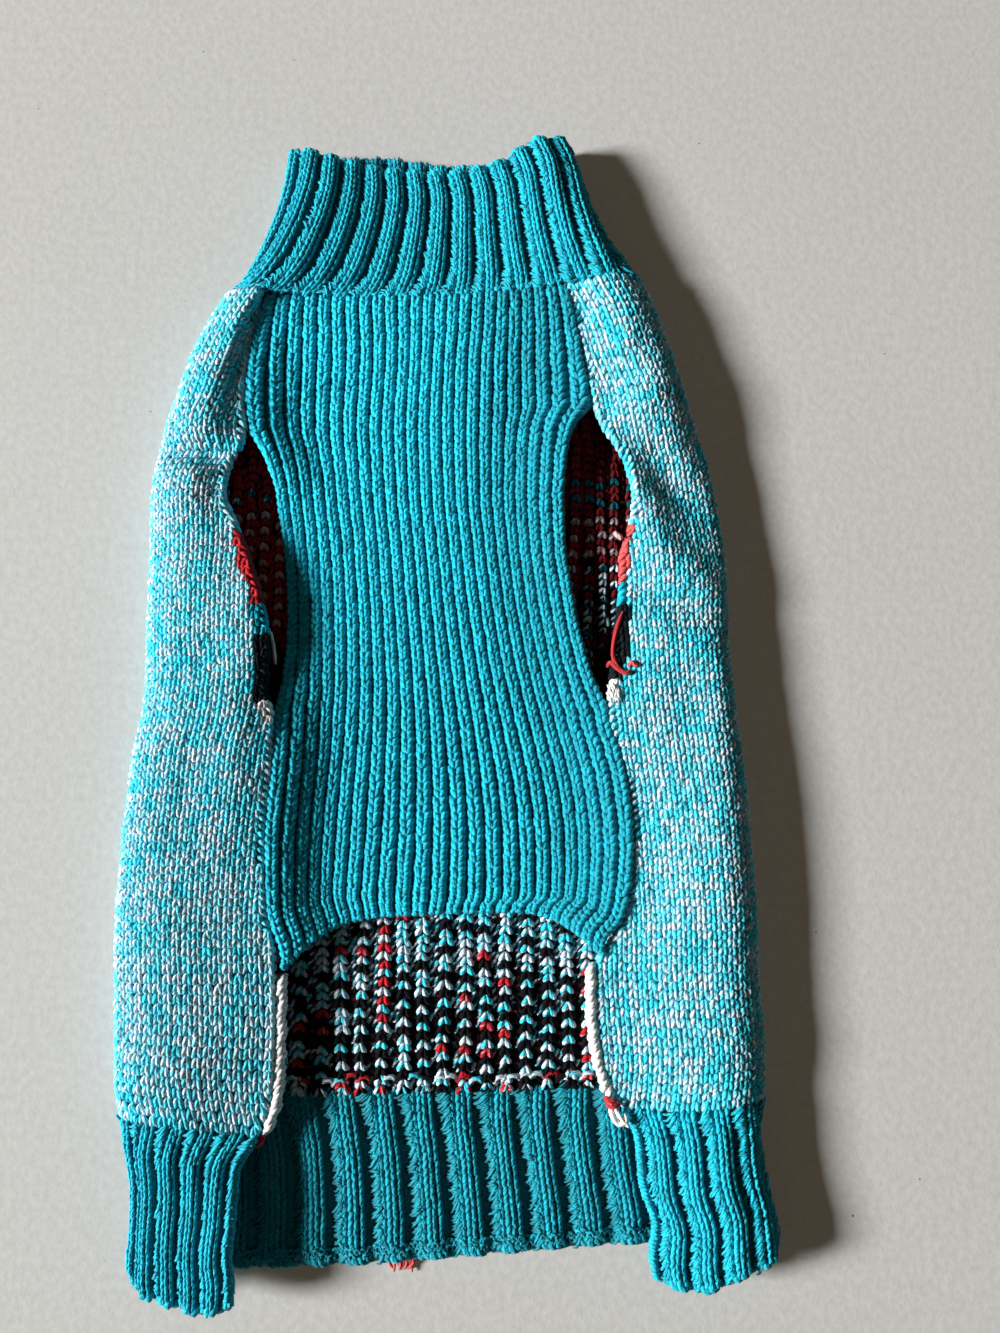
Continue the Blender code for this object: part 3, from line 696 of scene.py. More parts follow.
def make_piece(name, yarn, material):
    """One mesh of all the gathered strands, with their colours, plies and two maps."""
    cells = math.ceil(math.sqrt(yarn.count()))
    points, faces, twist, bake, colours, plies = [], [], [], [], [], []
    start, number = 0, 0
    for part, colour, ply in yarn.parts:
        count, rings = part.shape[:2]
        first = start + np.arange(count) * rings * SIDES
        faces.append((tube_faces(rings)[None] + first[:, None, None]).reshape(-1, 4))
        places = twist_places(rings)
        twist.append(np.broadcast_to(places, (count,) + places.shape).reshape(-1, 2))
        numbers = number + np.arange(count)
        corner = np.stack((numbers % cells, numbers // cells), axis=1)[:, None, None]
        inset = BAKE_MARGIN + (1 - 2 * BAKE_MARGIN) * bake_places(rings)[None]
        bake.append(((corner + inset) / cells).reshape(-1, 2))
        points.append(part.reshape(-1, 3))
        colours.append(np.repeat(colour[:, :, None], SIDES, axis=2).reshape(-1, 3))
        plies.append(np.repeat(ply[:, :, None], SIDES, axis=2).reshape(-1, 2))
        start += count * rings * SIDES
        number += count
    points = (np.concatenate(points) + (*CENTRING, 0.0)) * MM
    faces = np.concatenate(faces)
    mesh = bpy.data.meshes.new(name)
    mesh.vertices.add(len(points))
    mesh.vertices.foreach_set("co", points.ravel())
    mesh.loops.add(faces.size)
    mesh.loops.foreach_set("vertex_index", faces.ravel())
    mesh.polygons.add(len(faces))
    mesh.polygons.foreach_set("loop_start", np.arange(0, faces.size, 4))
    mesh.update(calc_edges=True)
    for map_name, places in (("Twist", twist), ("OFBake", bake)):
        layer = mesh.uv_layers.new(name=map_name)
        layer.data.foreach_set("uv", np.concatenate(places).ravel())
    shown = mesh.color_attributes.new(name="yarn", type="FLOAT_COLOR", domain="POINT")
    shown.data.foreach_set("color", np.column_stack((np.concatenate(colours), np.ones(len(points)))).ravel())
    held = mesh.attributes.new(name="ply", type="FLOAT_VECTOR", domain="POINT")
    held.data.foreach_set("vector", np.column_stack((np.concatenate(plies), np.zeros(len(points)))).ravel())
    mesh.shade_smooth()
    mesh.materials.append(material)
    piece = bpy.data.objects.new(name, mesh)
    bpy.context.scene.collection.objects.link(piece)
    return piece


StrandPath = namedtuple("StrandPath", "across along out thick")


def strand_path(*columns):
    """A strand's path: a number for each of its points across, along, out from the cloth, and thick."""
    return StrandPath(*map(np.array, columns))


# One leg of a stitch, from where it comes up to where it goes under the next one. across is in
# wales from the stitch's middle, along in courses towards the way it opens, and out in strand radii.
MARL_LEG = strand_path((0.05, 0.14, 0.25, 0.36, 0.45), (-0.54, -0.22, 0.10, 0.42, 0.70),
                       (-0.95, 0.20, 0.45, 0.15, -1.00), (0.60, 0.98, 1.06, 0.96, 0.60))
ROPE_LUMP = strand_path((-0.30, -0.17, 0.00, 0.17, 0.30), (-1.05, -0.55, 0.00, 0.55, 1.05),
                        (-0.75, 0.15, 0.45, 0.15, -0.75), (0.62, 1.00, 1.15, 1.00, 0.62))
BELLY_LEG = strand_path((-0.01, 0.09, 0.20, 0.30, 0.37), (-0.62, -0.24, 0.12, 0.48, 0.84),
                        (-0.55, 0.28, 0.45, 0.15, -0.85), (0.64, 0.98, 1.06, 0.98, 0.62))
SPECKLED_LEG = strand_path((0.03, 0.12, 0.24, 0.36, 0.45), (-0.46, -0.24, 0.02, 0.26, 0.44),
                           (-0.60, 0.30, 0.50, 0.25, -0.70), (0.66, 1.00, 1.10, 1.00, 0.66))
RIB_LEG = strand_path((-0.16, -0.08, 0.02, 0.12, 0.18), (-0.72, -0.26, 0.16, 0.58, 1.00),
                      (-0.75, 0.20, 0.42, 0.20, -0.80), (0.64, 0.95, 1.02, 0.95, 0.60))

# How much longer a loop of a cast-off or selvedge is than its share of the edge
CAST_OFF_LAP = 1.25
SELVEDGE_LAP = 1.15
# Loop of a cast-off or selvedge, over the end of the cloth. across is in loops, along in
# millimetres past the end, and out in wall thicknesses from the cloth's face.
EDGE_LOOP = strand_path((-0.55, -0.28, 0.02, 0.30, 0.50), (-1.50, -0.30, 0.42, 0.50, -0.10),
                        (-0.02, 0.08, -0.25, -0.62, -0.90), (0.62, 0.96, 1.05, 0.96, 0.62))
RIB_END = strand_path((-0.10, -0.04, 0.02, 0.04, 0.04), (-1.90, -0.70, 0.30, 0.40, -0.30),
                      (-0.05, 0.05, -0.28, -0.70, -0.95), (0.70, 1.00, 1.05, 0.96, 0.62))


def scatter(amount, count):
    """A small random number for each of a number of strands."""
    return draw.normal(0, amount, (count, 1))


def stack_up(value, count):
    """One value, or one for each strand, as a column."""
    return np.broadcast_to(np.asarray(value, dtype=float).reshape(-1, 1), (count, 1))


def lay(yarn, drape, across, along, out, thick, colours, plies):
    """Strands on a drape, each given by a row of places, heights and radii."""
    if colours.ndim < 3:
        colours = colours[:, None]
    yarn.add(drape.at(across, along, out), drape.normal(across, along), thick, colours, plies)


def lay_legs(yarn, drape, path, across, along, hand, wale, course, level, radius, colours, plies,
             in_mm=False, crown=0.0):
    """Legs of stitches on a drape.

    across and along are the stitches' middles, hand is 1 for the right leg and -1 for the left,
    and course is less than 0 where the stitches open towards the collar. crown is how far the
    stitch falls away from its middle to its sides.
    """
    count = len(across)
    size = 1 + scatter(0.05, count)
    wander = scatter(0.03, count)
    aside = hand[:, None] * path.across * size + wander
    shares = across[:, None] + aside * wale
    lines = along[:, None] + (path.along * size + scatter(0.05, count)) * course
    if in_mm:
        shares = np.minimum(shares / drape.width(lines), 1.0)
    radius = stack_up(radius, count)
    thick = radius * path.thick * (1 + scatter(0.05, count))
    out = stack_up(level, count) + path.out * radius + scatter(0.06, count)
    out = out - crown * (2 * aside) ** 2
    lay(yarn, drape, shares, lines, out, thick, colours, plies)


def even_places(count):
    """Middles of a number of equal shares of 1."""
    return (np.arange(count) + 0.5) / count


def lay_cast_off(yarn, drape, count, level, wall, radius, colour, path=EDGE_LOOP):
    """Row of loops over the lower end of a cloth. level is a function of across."""
    centre = even_places(count) + draw.normal(0, 0.05, count) / count
    across = centre[:, None] + path.across / count * CAST_OFF_LAP
    past = path.along * (1 + scatter(0.10, count))
    past = past + scatter(0.15, count)
    along = 1.0 + past / drape.height(across)
    out = level(across) + path.out * wall
    thick = radius * path.thick * (1 + scatter(0.07, count))
    lay(yarn, drape, across, along, out, thick, varied(colour, count), random_plies(count))


def lay_selvedge(yarn, drape, count, level, wall, radius, colour_at):
    """Column of loops over the far edge of a cloth. colour_at gives colours and plies for points."""
    centre = even_places(count)
    along = centre[:, None] + EDGE_LOOP.across / count * SELVEDGE_LAP
    past = EDGE_LOOP.along * (1 + scatter(0.10, count))
    past = past + scatter(0.10, count)
    across = 1.0 + past / drape.width(along)
    out = level + EDGE_LOOP.out * wall
    thick = radius * EDGE_LOOP.thick * (1 + scatter(0.08, count))
    colours, plies = colour_at(drape.edge(centre))
    lay(yarn, drape, across, along, out, thick, colours, plies)


def smooth_line(points, count):
    """Smooth curve through a few points, as evenly numbered ones."""
    points = np.array(points, dtype=float)
    ends = np.vstack((2 * points[0] - points[1], points, 2 * points[-1] - points[-2]))
    places = np.linspace(0, len(points) - 1, count)
    i = np.minimum(places.astype(int), len(points) - 2)
    t = (places - i)[:, None]
    a, b, c, d = (ends[i + k] for k in range(4))
    bend = 2 * a - 5 * b + 4 * c - d
    turn = 3 * b - a - 3 * c + d
    return 0.5 * (2 * b + (c - a) * t + bend * t ** 2 + turn * t ** 3)


def lay_tail(yarn, points, radius, colour, count):
    """Loose end of yarn through a few points, thinner at its two ends."""
    line = smooth_line(points, count)[None]
    thick = np.full((1, count), radius)
    thick[:, 0] = thick[:, -1] = radius * 0.45
    thick[:, 1] = thick[:, -2] = radius * 0.85
    colours = np.array(colour)[None, None]
    ups = np.broadcast_to((0.0, 0.0, 1.0), line.shape)
    yarn.add(line, ups, thick, colours, random_plies(1, 0.0))


def random_plies(count, share=0.5):
    """Where each strand's twist starts, and the share of it that the second ply takes."""
    return np.stack((draw.random(count), np.broadcast_to(share, count)), axis=1)


def varied(colour, count, amount=0.10):
    """One colour for each strand, each a little lighter or darker than the yarn's."""
    return np.array(colour) * (1 + scatter(amount, count))


def drift(x, y, scale, seed):
    """Soft uneven field between about -1 and 1: five waves about scale long, each in its own direction."""
    turns = np.random.default_rng(seed)
    total = 0.0
    for k in range(5):
        angle = turns.random() * TAU
        wave = (0.6 + 0.9 * turns.random()) / scale
        phase = turns.random() * TAU
        total = total + np.sin((x * math.cos(angle) + y * math.sin(angle)) * wave * TAU + phase)
    return total / 2.6


# ---------------------------------------------------------------- finishes and table top

YARN_ROUGHNESS = 0.66
YARN_SPECKS = 2100.0      # scale of the mottle, about half a millimetre
YARN_BUMP = 0.00022       # heights of bumps, in metres
WALL_BUMP = 0.0004
TABLE_BUMP = 0.0004
TABLE_TONES = ((0.50, 0.507, 0.502), (0.55, 0.558, 0.559))
# The table top's faint glow is painted light that lifts its shadows
TABLE_GLOW = (1.0, 0.72, 0.42)


def link(tree, source, target):
    tree.links.new(source, target)


def add_node(tree, kind, **settings):
    node = tree.nodes.new(kind)
    for name, value in settings.items():
        setattr(node, name, value)
    return node


def maths(tree, operation, a, b=None, c=None):
    """One step of arithmetic on numbers or sockets."""
    node = add_node(tree, "ShaderNodeMath", operation=operation)
    for socket, value in zip(node.inputs, (a, b, c)):
        if value is None:
            continue
        if isinstance(value, (int, float)):
            socket.default_value = value
        else:
            link(tree, value, socket)
    return node.outputs[0]


def blend_colours(tree, share, first, second, kind="MIX"):
    """Two colours, or sockets that give them, in one."""
    node = add_node(tree, "ShaderNodeMix", data_type="RGBA", blend_type=kind)
    for socket, value in zip((node.inputs[0], node.inputs[6], node.inputs[7]), (share, first, second)):
        if isinstance(value, (int, float)):
            socket.default_value = value
        elif isinstance(value, tuple):
            socket.default_value = (*value, 1.0)
        else:
            link(tree, value, socket)
    return node.outputs[2]


def split(tree, vector):
    """The x, y and z sockets of a vector."""
    node = add_node(tree, "ShaderNodeSeparateXYZ")
    link(tree, vector, node.inputs[0])
    return node.outputs


def join(tree, x, y):
    """A vector of two values."""
    node = add_node(tree, "ShaderNodeCombineXYZ")
    link(tree, x, node.inputs[0])
    link(tree, y, node.inputs[1])
    return node.outputs[0]


def noise(tree, place, scale, detail):
    """A soft noise from 0 to 1."""
    node = add_node(tree, "ShaderNodeTexNoise")
    node.inputs["Scale"].default_value = scale
    node.inputs["Detail"].default_value = detail
    link(tree, place, node.inputs["Vector"])
    return node.outputs[0]


def new_finish(name, roughness, sheen, tint, gloss):
    material = bpy.data.materials.new(name)
    material.use_nodes = True
    shader = material.node_tree.nodes["Principled BSDF"]
    shader.inputs["Roughness"].default_value = roughness
    shader.inputs["Specular IOR Level"].default_value = gloss
    shader.inputs["Sheen Weight"].default_value = sheen
    shader.inputs["Sheen Roughness"].default_value = 0.55
    shader.inputs["Sheen Tint"].default_value = (*tint, 1.0)
    return material, material.node_tree, shader


def shade_and_bump(tree, shader, colour, shade, height, strength, distance):
    """Gives the shader a colour times a shade from 0 to 1, and bumps of this height."""
    tone = add_node(tree, "ShaderNodeCombineColor")
    for socket in tone.inputs[:3]:
        link(tree, shade, socket)
    link(tree, blend_colours(tree, 1.0, colour, tone.outputs[0], "MULTIPLY"), shader.inputs["Base Color"])
    bump = add_node(tree, "ShaderNodeBump")
    bump.inputs["Strength"].default_value = strength
    bump.inputs["Distance"].default_value = distance
    link(tree, height, bump.inputs["Height"])
    link(tree, bump.outputs[0], shader.inputs["Normal"])


def second_ply(tree, twist, share, first, second):
    """Colour of a strand of two plies that wind round each other, where the second takes a share."""
    wave = maths(tree, "SINE", maths(tree, "MULTIPLY", twist, TAU))
    edge = maths(tree, "MULTIPLY_ADD", share, 2.6, -1.3)
    over = add_node(tree, "ShaderNodeClamp")
    link(tree, maths(tree, "MULTIPLY_ADD", maths(tree, "SUBTRACT", edge, wave), 1.8, 0.5), over.inputs[0])
    return blend_colours(tree, over.outputs[0], first, second)


def yarn_finish(name, turns, two_tone=None, sheen=0.22, tint=(0.35, 0.90, 1.0), gloss=0.18):
    """Spun yarn of two plies on the strand's map. two_tone is the second ply's colour."""
    material, tree, shader = new_finish(name, YARN_ROUGHNESS, sheen, tint, gloss)
    round_place, along = split(tree, add_node(tree, "ShaderNodeUVMap", uv_map="Twist").outputs[0])[:2]
    ply = add_node(tree, "ShaderNodeAttribute", attribute_name="ply")
    phase, share = split(tree, ply.outputs["Vector"])[:2]
    twist = maths(tree, "ADD", maths(tree, "MULTIPLY_ADD", along, turns, round_place), phase)
    strand = maths(tree, "FRACT", maths(tree, "MULTIPLY", twist, 2.0))
    dome = maths(tree, "SINE", maths(tree, "MULTIPLY", strand, math.pi))
    colour = add_node(tree, "ShaderNodeAttribute", attribute_name="yarn").outputs["Color"]
    if two_tone:
        colour = second_ply(tree, twist, share, colour, two_tone)
    run = maths(tree, "MULTIPLY_ADD", phase, 40.0, maths(tree, "MULTIPLY", along, 3.0))
    fibres = noise(tree, join(tree, maths(tree, "MULTIPLY", twist, 14.0), run), 1.0, 3.0)
    place = add_node(tree, "ShaderNodeTexCoord").outputs["Object"]
    mottle = maths(tree, "MULTIPLY_ADD", noise(tree, place, YARN_SPECKS, 2.0), 1.7, 0.15)
    shade = maths(tree, "MULTIPLY", maths(tree, "MULTIPLY_ADD", fibres, 0.7, 0.65), mottle)
    # Painted shade: the colour darkens in the grooves between the two plies.
    painted_groove_shade = maths(tree, "MULTIPLY_ADD", maths(tree, "POWER", dome, 0.6), 0.45, 0.62)
    height = maths(tree, "MULTIPLY_ADD", fibres, 0.45, dome)
    shade_and_bump(tree, shader, colour, maths(tree, "MULTIPLY", shade, painted_groove_shade), height, 0.75, YARN_BUMP)
    return material


def wall_finish(name, wales, courses, colours):
    """Knit cloth under the yarn, drawn as columns of stitches on the wall's own map, darker between
    the drawn legs as painted shade.

    colours are the two yarns and the share of the second one.
    """
    first, second, second_share = colours
    material, tree, shader = new_finish(name, 0.9, 0.15, (0.7, 0.9, 1.0), 0.18)
    place = split(tree, add_node(tree, "ShaderNodeUVMap", uv_map="Knit").outputs[0])
    across = maths(tree, "MULTIPLY", place[0], float(wales))
    along = maths(tree, "MULTIPLY", place[1], float(courses))
    aside = maths(tree, "ABSOLUTE", maths(tree, "SUBTRACT", maths(tree, "FRACT", across), 0.5))
    slope = maths(tree, "MULTIPLY_ADD", aside, 1.3, along)
    leg = maths(tree, "ABSOLUTE", maths(tree, "SINE", maths(tree, "MULTIPLY", slope, math.pi)))
    column = maths(tree, "SINE", maths(tree, "MULTIPLY", aside, TAU))
    height = maths(tree, "MULTIPLY", maths(tree, "POWER", leg, 0.6), maths(tree, "ABSOLUTE", column))
    half_wale = maths(tree, "FLOOR", maths(tree, "MULTIPLY", across, 2.0))
    chance = add_node(tree, "ShaderNodeTexWhiteNoise", noise_dimensions="2D")
    link(tree, join(tree, half_wale, maths(tree, "FLOOR", slope)), chance.inputs["Vector"])
    picked = maths(tree, "LESS_THAN", chance.outputs["Value"], second_share)
    colour = blend_colours(tree, picked, first, second)
    # Painted shade: the drawn legs get darker towards their edges and between them.
    shade = maths(tree, "MULTIPLY_ADD", height, 0.55, 0.45)
    shade_and_bump(tree, shader, colour, shade, height, 1.0, WALL_BUMP)
    return material


def floor_finish():
    """Pale smooth table top with faint specks, which glows faintly: painted light in its shadows."""
    material, tree, shader = new_finish("table_top", 0.72, 0.0, (1.0, 1.0, 1.0), 0.18)
    place = add_node(tree, "ShaderNodeTexCoord").outputs["Object"]
    grain = noise(tree, place, 420.0, 3.0)
    soft = blend_colours(tree, noise(tree, place, 7.0, 5.0), *TABLE_TONES)
    specks = add_node(tree, "ShaderNodeTexVoronoi")
    specks.inputs["Scale"].default_value = 95.0
    link(tree, place, specks.inputs["Vector"])
    chosen = add_node(tree, "ShaderNodeSeparateColor")
    link(tree, specks.outputs["Color"], chosen.inputs[0])
    size = maths(tree, "MULTIPLY", maths(tree, "GREATER_THAN", chosen.outputs[0], 0.62), 0.05)
    reach = maths(tree, "MULTIPLY", chosen.outputs[1], size)
    dot = maths(tree, "LESS_THAN", specks.outputs["Distance"], reach)
    fleck = maths(tree, "MULTIPLY_ADD", grain, 0.30, 0.85)
    fleck = maths(tree, "MULTIPLY", fleck, maths(tree, "MULTIPLY_ADD", dot, -0.62, 1.0))
    shade_and_bump(tree, shader, soft, fleck, grain, 0.25, TABLE_BUMP)
    shader.inputs["Emission Color"].default_value = (*TABLE_GLOW, 1.0)
    shader.inputs["Emission Strength"].default_value = 0.032
    return material


def lay_floor():
    bpy.ops.object.select_all(action="DESELECT")
    bpy.ops.mesh.primitive_plane_add(size=4.0, location=(0.0, 0.0, -0.0002))
    floor = bpy.context.active_object
    floor.name = "table_top"
    bpy.ops.object.transform_apply(location=True)
    floor.data.materials.append(floor_finish())


# ---------------------------------------------------------------- cloth walls


ROOT_DEPTH = 0.3          # how deep below a cloth's face its strands start


def off_table(drape, height):
    """0 where a face lies on the table, and 1 from this height up."""
    return np.clip(drape.points[..., 2:3] / height, 0.0, 1.0)


def cloth_faces(rows, depth, wall):
    """Both faces of a cloth under its yarn: the outer one is sunk, but not where it lies on the table."""
    drape = Drape(rows)
    sunk = depth * off_table(drape, 3.0)
    return drape.points - drape.normals * sunk, drape.points - drape.normals * wall


def ribbed_faces(drape, rise, outer):
    """Both faces of a cloth with ribs outside. rise is each column's relief from 0 to 1."""
    stands = off_table(drape, 2.4)
    shown = rise * seam_relief(np.linspace(0, 1, len(drape.points)))[:, None]
    return (drape.points + drape.normals * (shown[..., None] * outer - 0.5) * stands,
            drape.points - drape.normals * (RIB_WALL - 0.4))


def make_wall(name, outside, inside, materials, ring=False):
    """Closed cloth wall: a grid laid on rows of points and made thick, then its inner face laid."""
    count, columns = outside.shape[:2]
    bpy.ops.object.select_all(action="DESELECT")
    bpy.ops.mesh.primitive_grid_add(x_subdivisions=columns - 1, y_subdivisions=count - 1, size=2.0)
    wall = bpy.context.active_object
    wall.name = wall.data.name = name
    mesh = wall.data
    total = len(mesh.vertices)
    flat = np.empty(total * 3)
    mesh.vertices.foreach_get("co", flat)
    flat = (flat.reshape(-1, 3)[:, :2] + 1) / 2
    i = np.rint(flat[:, 0] * (columns - 1)).astype(int)
    j = np.rint((1 - flat[:, 1]) * (count - 1)).astype(int)
    outer = (outside[j, i] + (*CENTRING, 0.0)) * MM
    inner = (inside[j, i] + (*CENTRING, 0.0)) * MM
    mesh.vertices.foreach_set("co", outer.ravel())
    mesh.uv_layers.active.name = "Knit"
    mesh.update()
    turned = 0.0
    for face in mesh.polygons:
        corner = face.vertices[0]
        turned += float(np.dot(face.normal, outer[corner] - inner[corner]))
    if turned < 0:
        mesh.flip_normals()
    for material in materials:
        mesh.materials.append(material)
    mesh.shade_smooth()
    shell = wall.modifiers.new("thickness", "SOLIDIFY")
    shell.thickness = MM
    shell.offset = -1.0
    if len(materials) > 1:
        shell.material_offset = 1
    bpy.ops.object.modifier_apply(modifier=shell.name)
    mesh.vertices.foreach_set("co", np.concatenate((outer, inner)).ravel())
    if ring:
        close_ring(wall)
    mesh.update()
    return wall


def close_ring(wall):
    """Opens the wall's two meeting ends and joins them, so that the tube is one wall."""
    mesh = wall.data
    places = np.empty(len(mesh.vertices) * 3)
    mesh.vertices.foreach_get("co", places)
    places = np.round(places.reshape(-1, 3), 7)
    seen = {}
    for number, place in enumerate(map(tuple, places)):
        seen.setdefault(place, []).append(number)
    doubled = {number for numbers in seen.values() if len(numbers) > 1 for number in numbers}
    bpy.ops.object.select_all(action="DESELECT")
    wall.select_set(True)
    bpy.context.view_layer.objects.active = wall
    bpy.ops.object.mode_set(mode="EDIT")
    bpy.ops.mesh.select_all(action="DESELECT")
    bpy.ops.object.mode_set(mode="OBJECT")
    for face in mesh.polygons:
        face.select = all(vertex in doubled for vertex in face.vertices)
    bpy.ops.object.mode_set(mode="EDIT")
    bpy.ops.mesh.select_mode(type="FACE")
    bpy.ops.mesh.delete(type="ONLY_FACE")
    bpy.ops.mesh.select_mode(type="VERT")
    bpy.ops.mesh.select_all(action="SELECT")
    bpy.ops.mesh.remove_doubles(threshold=0.000001)
    bpy.ops.object.mode_set(mode="OBJECT")


# ---------------------------------------------------------------- flanks

FLANK_START = 5.0         # width at the flank's foot, beside the table, that has no stitches
FLANK_COLUMNS = 70        # points across a flank's grid
MARL_WHITE_SHARE = 0.36   # of the marl's strands, on average
# Uneven fields of the marl's white share: stretch in x, length of the waves, seed and strength
MARL_FIELDS = ((1.0, 26.0, 5, 0.10), (1.0, 11.0, 6, 0.15), (1.5, 6.0, 7, 0.16))


def flank_drape(side):
    """Outside of one flank, from the table over its rolled side to its edge."""
    rows = []
    for y in course_levels(COLLAR_Y, HEM_Y, FLANK_COURSES * 2 + 1):
        row = body_row(y)
        if side < 0:
            part = [point for point in row if point[3] <= 2.0][::-1]
        else:
            part = [point for point in row if point[3] >= 3.0]
        rows.append(evenly(part, FLANK_COLUMNS))
    return Drape(rows)


def marl_colours(x, y, count):
    """Teal yarn for each leg, and how much of the leg the white ply takes. The left flank's yarn is lighter
    as painted light, and the right flank's less white as painted shade.
    """
    field = sum(drift(x * stretch, y, length, seed) * strength
                for stretch, length, seed, strength in MARL_FIELDS)
    # The right flank's white share is 0.05 lower: painted shade on the side away from the window.
    share = MARL_WHITE_SHARE - 0.05 * (x > 0) + field + draw.normal(0, 0.15, count)
    share = np.clip(share, 0.0, 1.0)
    paler = 0.45 * share[:, None]
    colours = np.array(MARL_TEAL) * (1 - paler) + np.array(MARL_WHITE) * paler
    # tone: random drift, and up to 10 % lighter on the left flank towards its upper part: painted light on
    # the side facing the window.
    tone = 1 + 0.16 * drift(x, y, 8.0, 9) + 0.10 * (x < 0) * (1 - soft_step((y - 110) / 60))
    return varied(colours * tone[:, None], count, 0.08), random_plies(count, share)


# Yarn of the flanks' last stitches beside the leg openings: y of each zone's top and foot, and
# how far it reaches in from the edge
Zone = namedtuple("Zone", "top foot reach colour")
LEFT_ZONES = rows_of(Zone, (
    (48.0, 24.8, 2.4, RED),
    (24.8, 16.0, 3.8, TEAL),
    (16.0, -6.0, 3.4, BLACK),
    (-6.0, -11.0, 2.6, EDGING_WHITE),
))
RIGHT_ZONES = rows_of(Zone, (
    (50.7, 31.2, 1.5, CORAL),
    (31.2, 25.0, 1.8, TEAL),
    (25.0, 1.5, 3.4, BLACK),
    (1.5, -4.0, 2.4, EDGING_WHITE),
))


def colour_zones(zones, y, inset, colours, plies):
    """Gives the stitches near the edge, inset from it in millimetres, the yarn of their zone."""
    for zone in zones:
        held = (y <= zone.top) & (y > zone.foot) & (inset < zone.reach)
        colours[held] = varied(zone.colour, held.sum(), 0.14)
        plies[held, 1] = 0.0


def selvedge_colours(zones):
    """Colours and plies of the loops over a flank's edge, as a function of their points."""
    def colour_at(points):
        colours, plies = marl_colours(points[:, 0] * 1.3, points[:, 1], len(points))
        colour_zones(zones, points[:, 1], np.zeros(len(points)), colours, plies)
        return colours, plies
    return colour_at


def knit_flank(side, material):
    """Stockinette of marl yarn. Its columns run beside the outline and end at the flank's edge."""
    drape = flank_drape(side)
    yarn = Yarn()
    wales = int(drape.widths.max() / FLANK_WALE) + 1
    wale, course = (row.ravel() for row in np.meshgrid(np.arange(wales), np.arange(FLANK_COURSES)))
    along = (course + 0.5) / FLANK_COURSES
    across = FLANK_START + (wale + 0.5) * FLANK_WALE
    kept = across < drape.width(along) - 0.1 * FLANK_WALE
    along, across = np.tile((along[kept], across[kept]), 2)
    hand = np.repeat((1.0, -1.0), kept.sum())
    colours, plies = marl_colours(across + side * 90, along * 250, len(across))
    zones = LEFT_ZONES if side < 0 else RIGHT_ZONES
    y = drape.edge(along)[:, 1]
    inset = drape.width(along) - across - 0.25 * hand * FLANK_WALE + 0.6 * np.sin(0.45 * y)
    colour_zones(zones, y, inset, colours, plies)
    lay_legs(yarn, drape, MARL_LEG, across, along, hand, FLANK_WALE, 1 / FLANK_COURSES,
             -0.10, FLANK_WALE * FLANK_STRAND, colours, plies, in_mm=True, crown=0.2)
    lay_selvedge(yarn, drape, FLANK_COURSES, -0.2, BODY_WALL, EDGE_STRANDS["flank"], selvedge_colours(zones))
    name = "flank_stitches_left" if side < 0 else "flank_stitches_right"
    return make_piece(name, yarn, material)


# ---------------------------------------------------------------- inside of the back panel


def inside_drape():
    """Inner face of the part of the back panel that lies on the table."""
    rows = []
    for y in course_levels(COLLAR_Y, HEM_Y, FLANK_COURSES + 1):
        base = [point for point in body_row(y) if 2.0 <= point[3] <= 3.0]
        rows.append([(x, level, BODY_WALL - ROOT_DEPTH) for x, level, z, place in base])
    return Drape(rows)


# The yarn of the speckled inside is chosen stitch by stitch. Each of the knit functions below gives the
# yarn and white share of one knit stitch, where before is the yarn of the stitch above it and chance
# holds two numbers from 0 to 1. Each of the purl functions gives those of the purls beside it.


def hem_knit(before, column, x, y, chance):
    """At the cut-out: white and teal above, more and more black and red below and to the right."""
    right = min(max((x + 30) / 60, 0.0), 1.0)
    low = min(max((-80 - y) / 12, 0.0), 1.0)
    lower = min(max((-90 - y) / 12, 0.0), 1.0)
    if column == -3 and y > -102:
        return (RED, 0.0) if before is not RED else (MARL_TEAL, 0.95)
    if before is BLACK:
        dark, red = 0.05, 0.04
    elif before is RED:
        dark, red = 0.35, 0.0
    else:
        dark, red = 0.14 + 0.56 * low, 0.05 + (0.06 + 0.30 * right) * lower
    if chance[0] < dark:
        return BLACK, 0.0
    if chance[0] > 1 - red:
        return RED, 0.12 * chance[1]
    return MARL_TEAL, (0.12 + 0.88 * chance[1]) ** 0.8


def left_slit_knit(before, column, x, y, chance):
    """In the left leg opening: red, with pink below its middle and black at its foot."""
    if y > 64:
        return RED, 0.0
    if y > 58:
        return (TEAL_DEEP, 0.3) if before is not TEAL_DEEP and chance[0] < 0.6 else (RED, 0.0)
    if y > 16:
        return (PINK, 0.0) if before is RED else (RED, 0.0)
    return (RED, 0.0) if y > 6 and chance[0] < 0.5 else (BLACK, 0.0)


def right_slit_knit(before, column, x, y, chance):
    """In the right leg opening: reds and pink darkened by painted shade, then deep teal, and black at its
    foot.
    """
    if y > 67:
        return SHADED_RED, 0.0
    if y > 57:
        return (TEAL_DEEP, 0.0) if before is not TEAL_DEEP and chance[0] < 0.7 else (SHADED_RED, 0.0)
    if y > 41:
        return (SLIT_SHADED_RED, 0.0) if before is not SLIT_SHADED_RED else (SHADED_PINK, 0.25)
    if y > 10:
        if before is SLIT_SHADED_RED or chance[0] < 0.6:
            return (TEAL_DEEP, 0.45 + 0.45 * chance[1]) if chance[1] < 0.7 else (TEAL_DEEP, 0.2)
        return (SLIT_SHADED_RED, 0.0) if chance[1] < 0.6 else (BLACK, 0.0)
    return (BLACK, 0.0) if chance[0] < 0.8 else (TEAL_DEEP, 0.7)


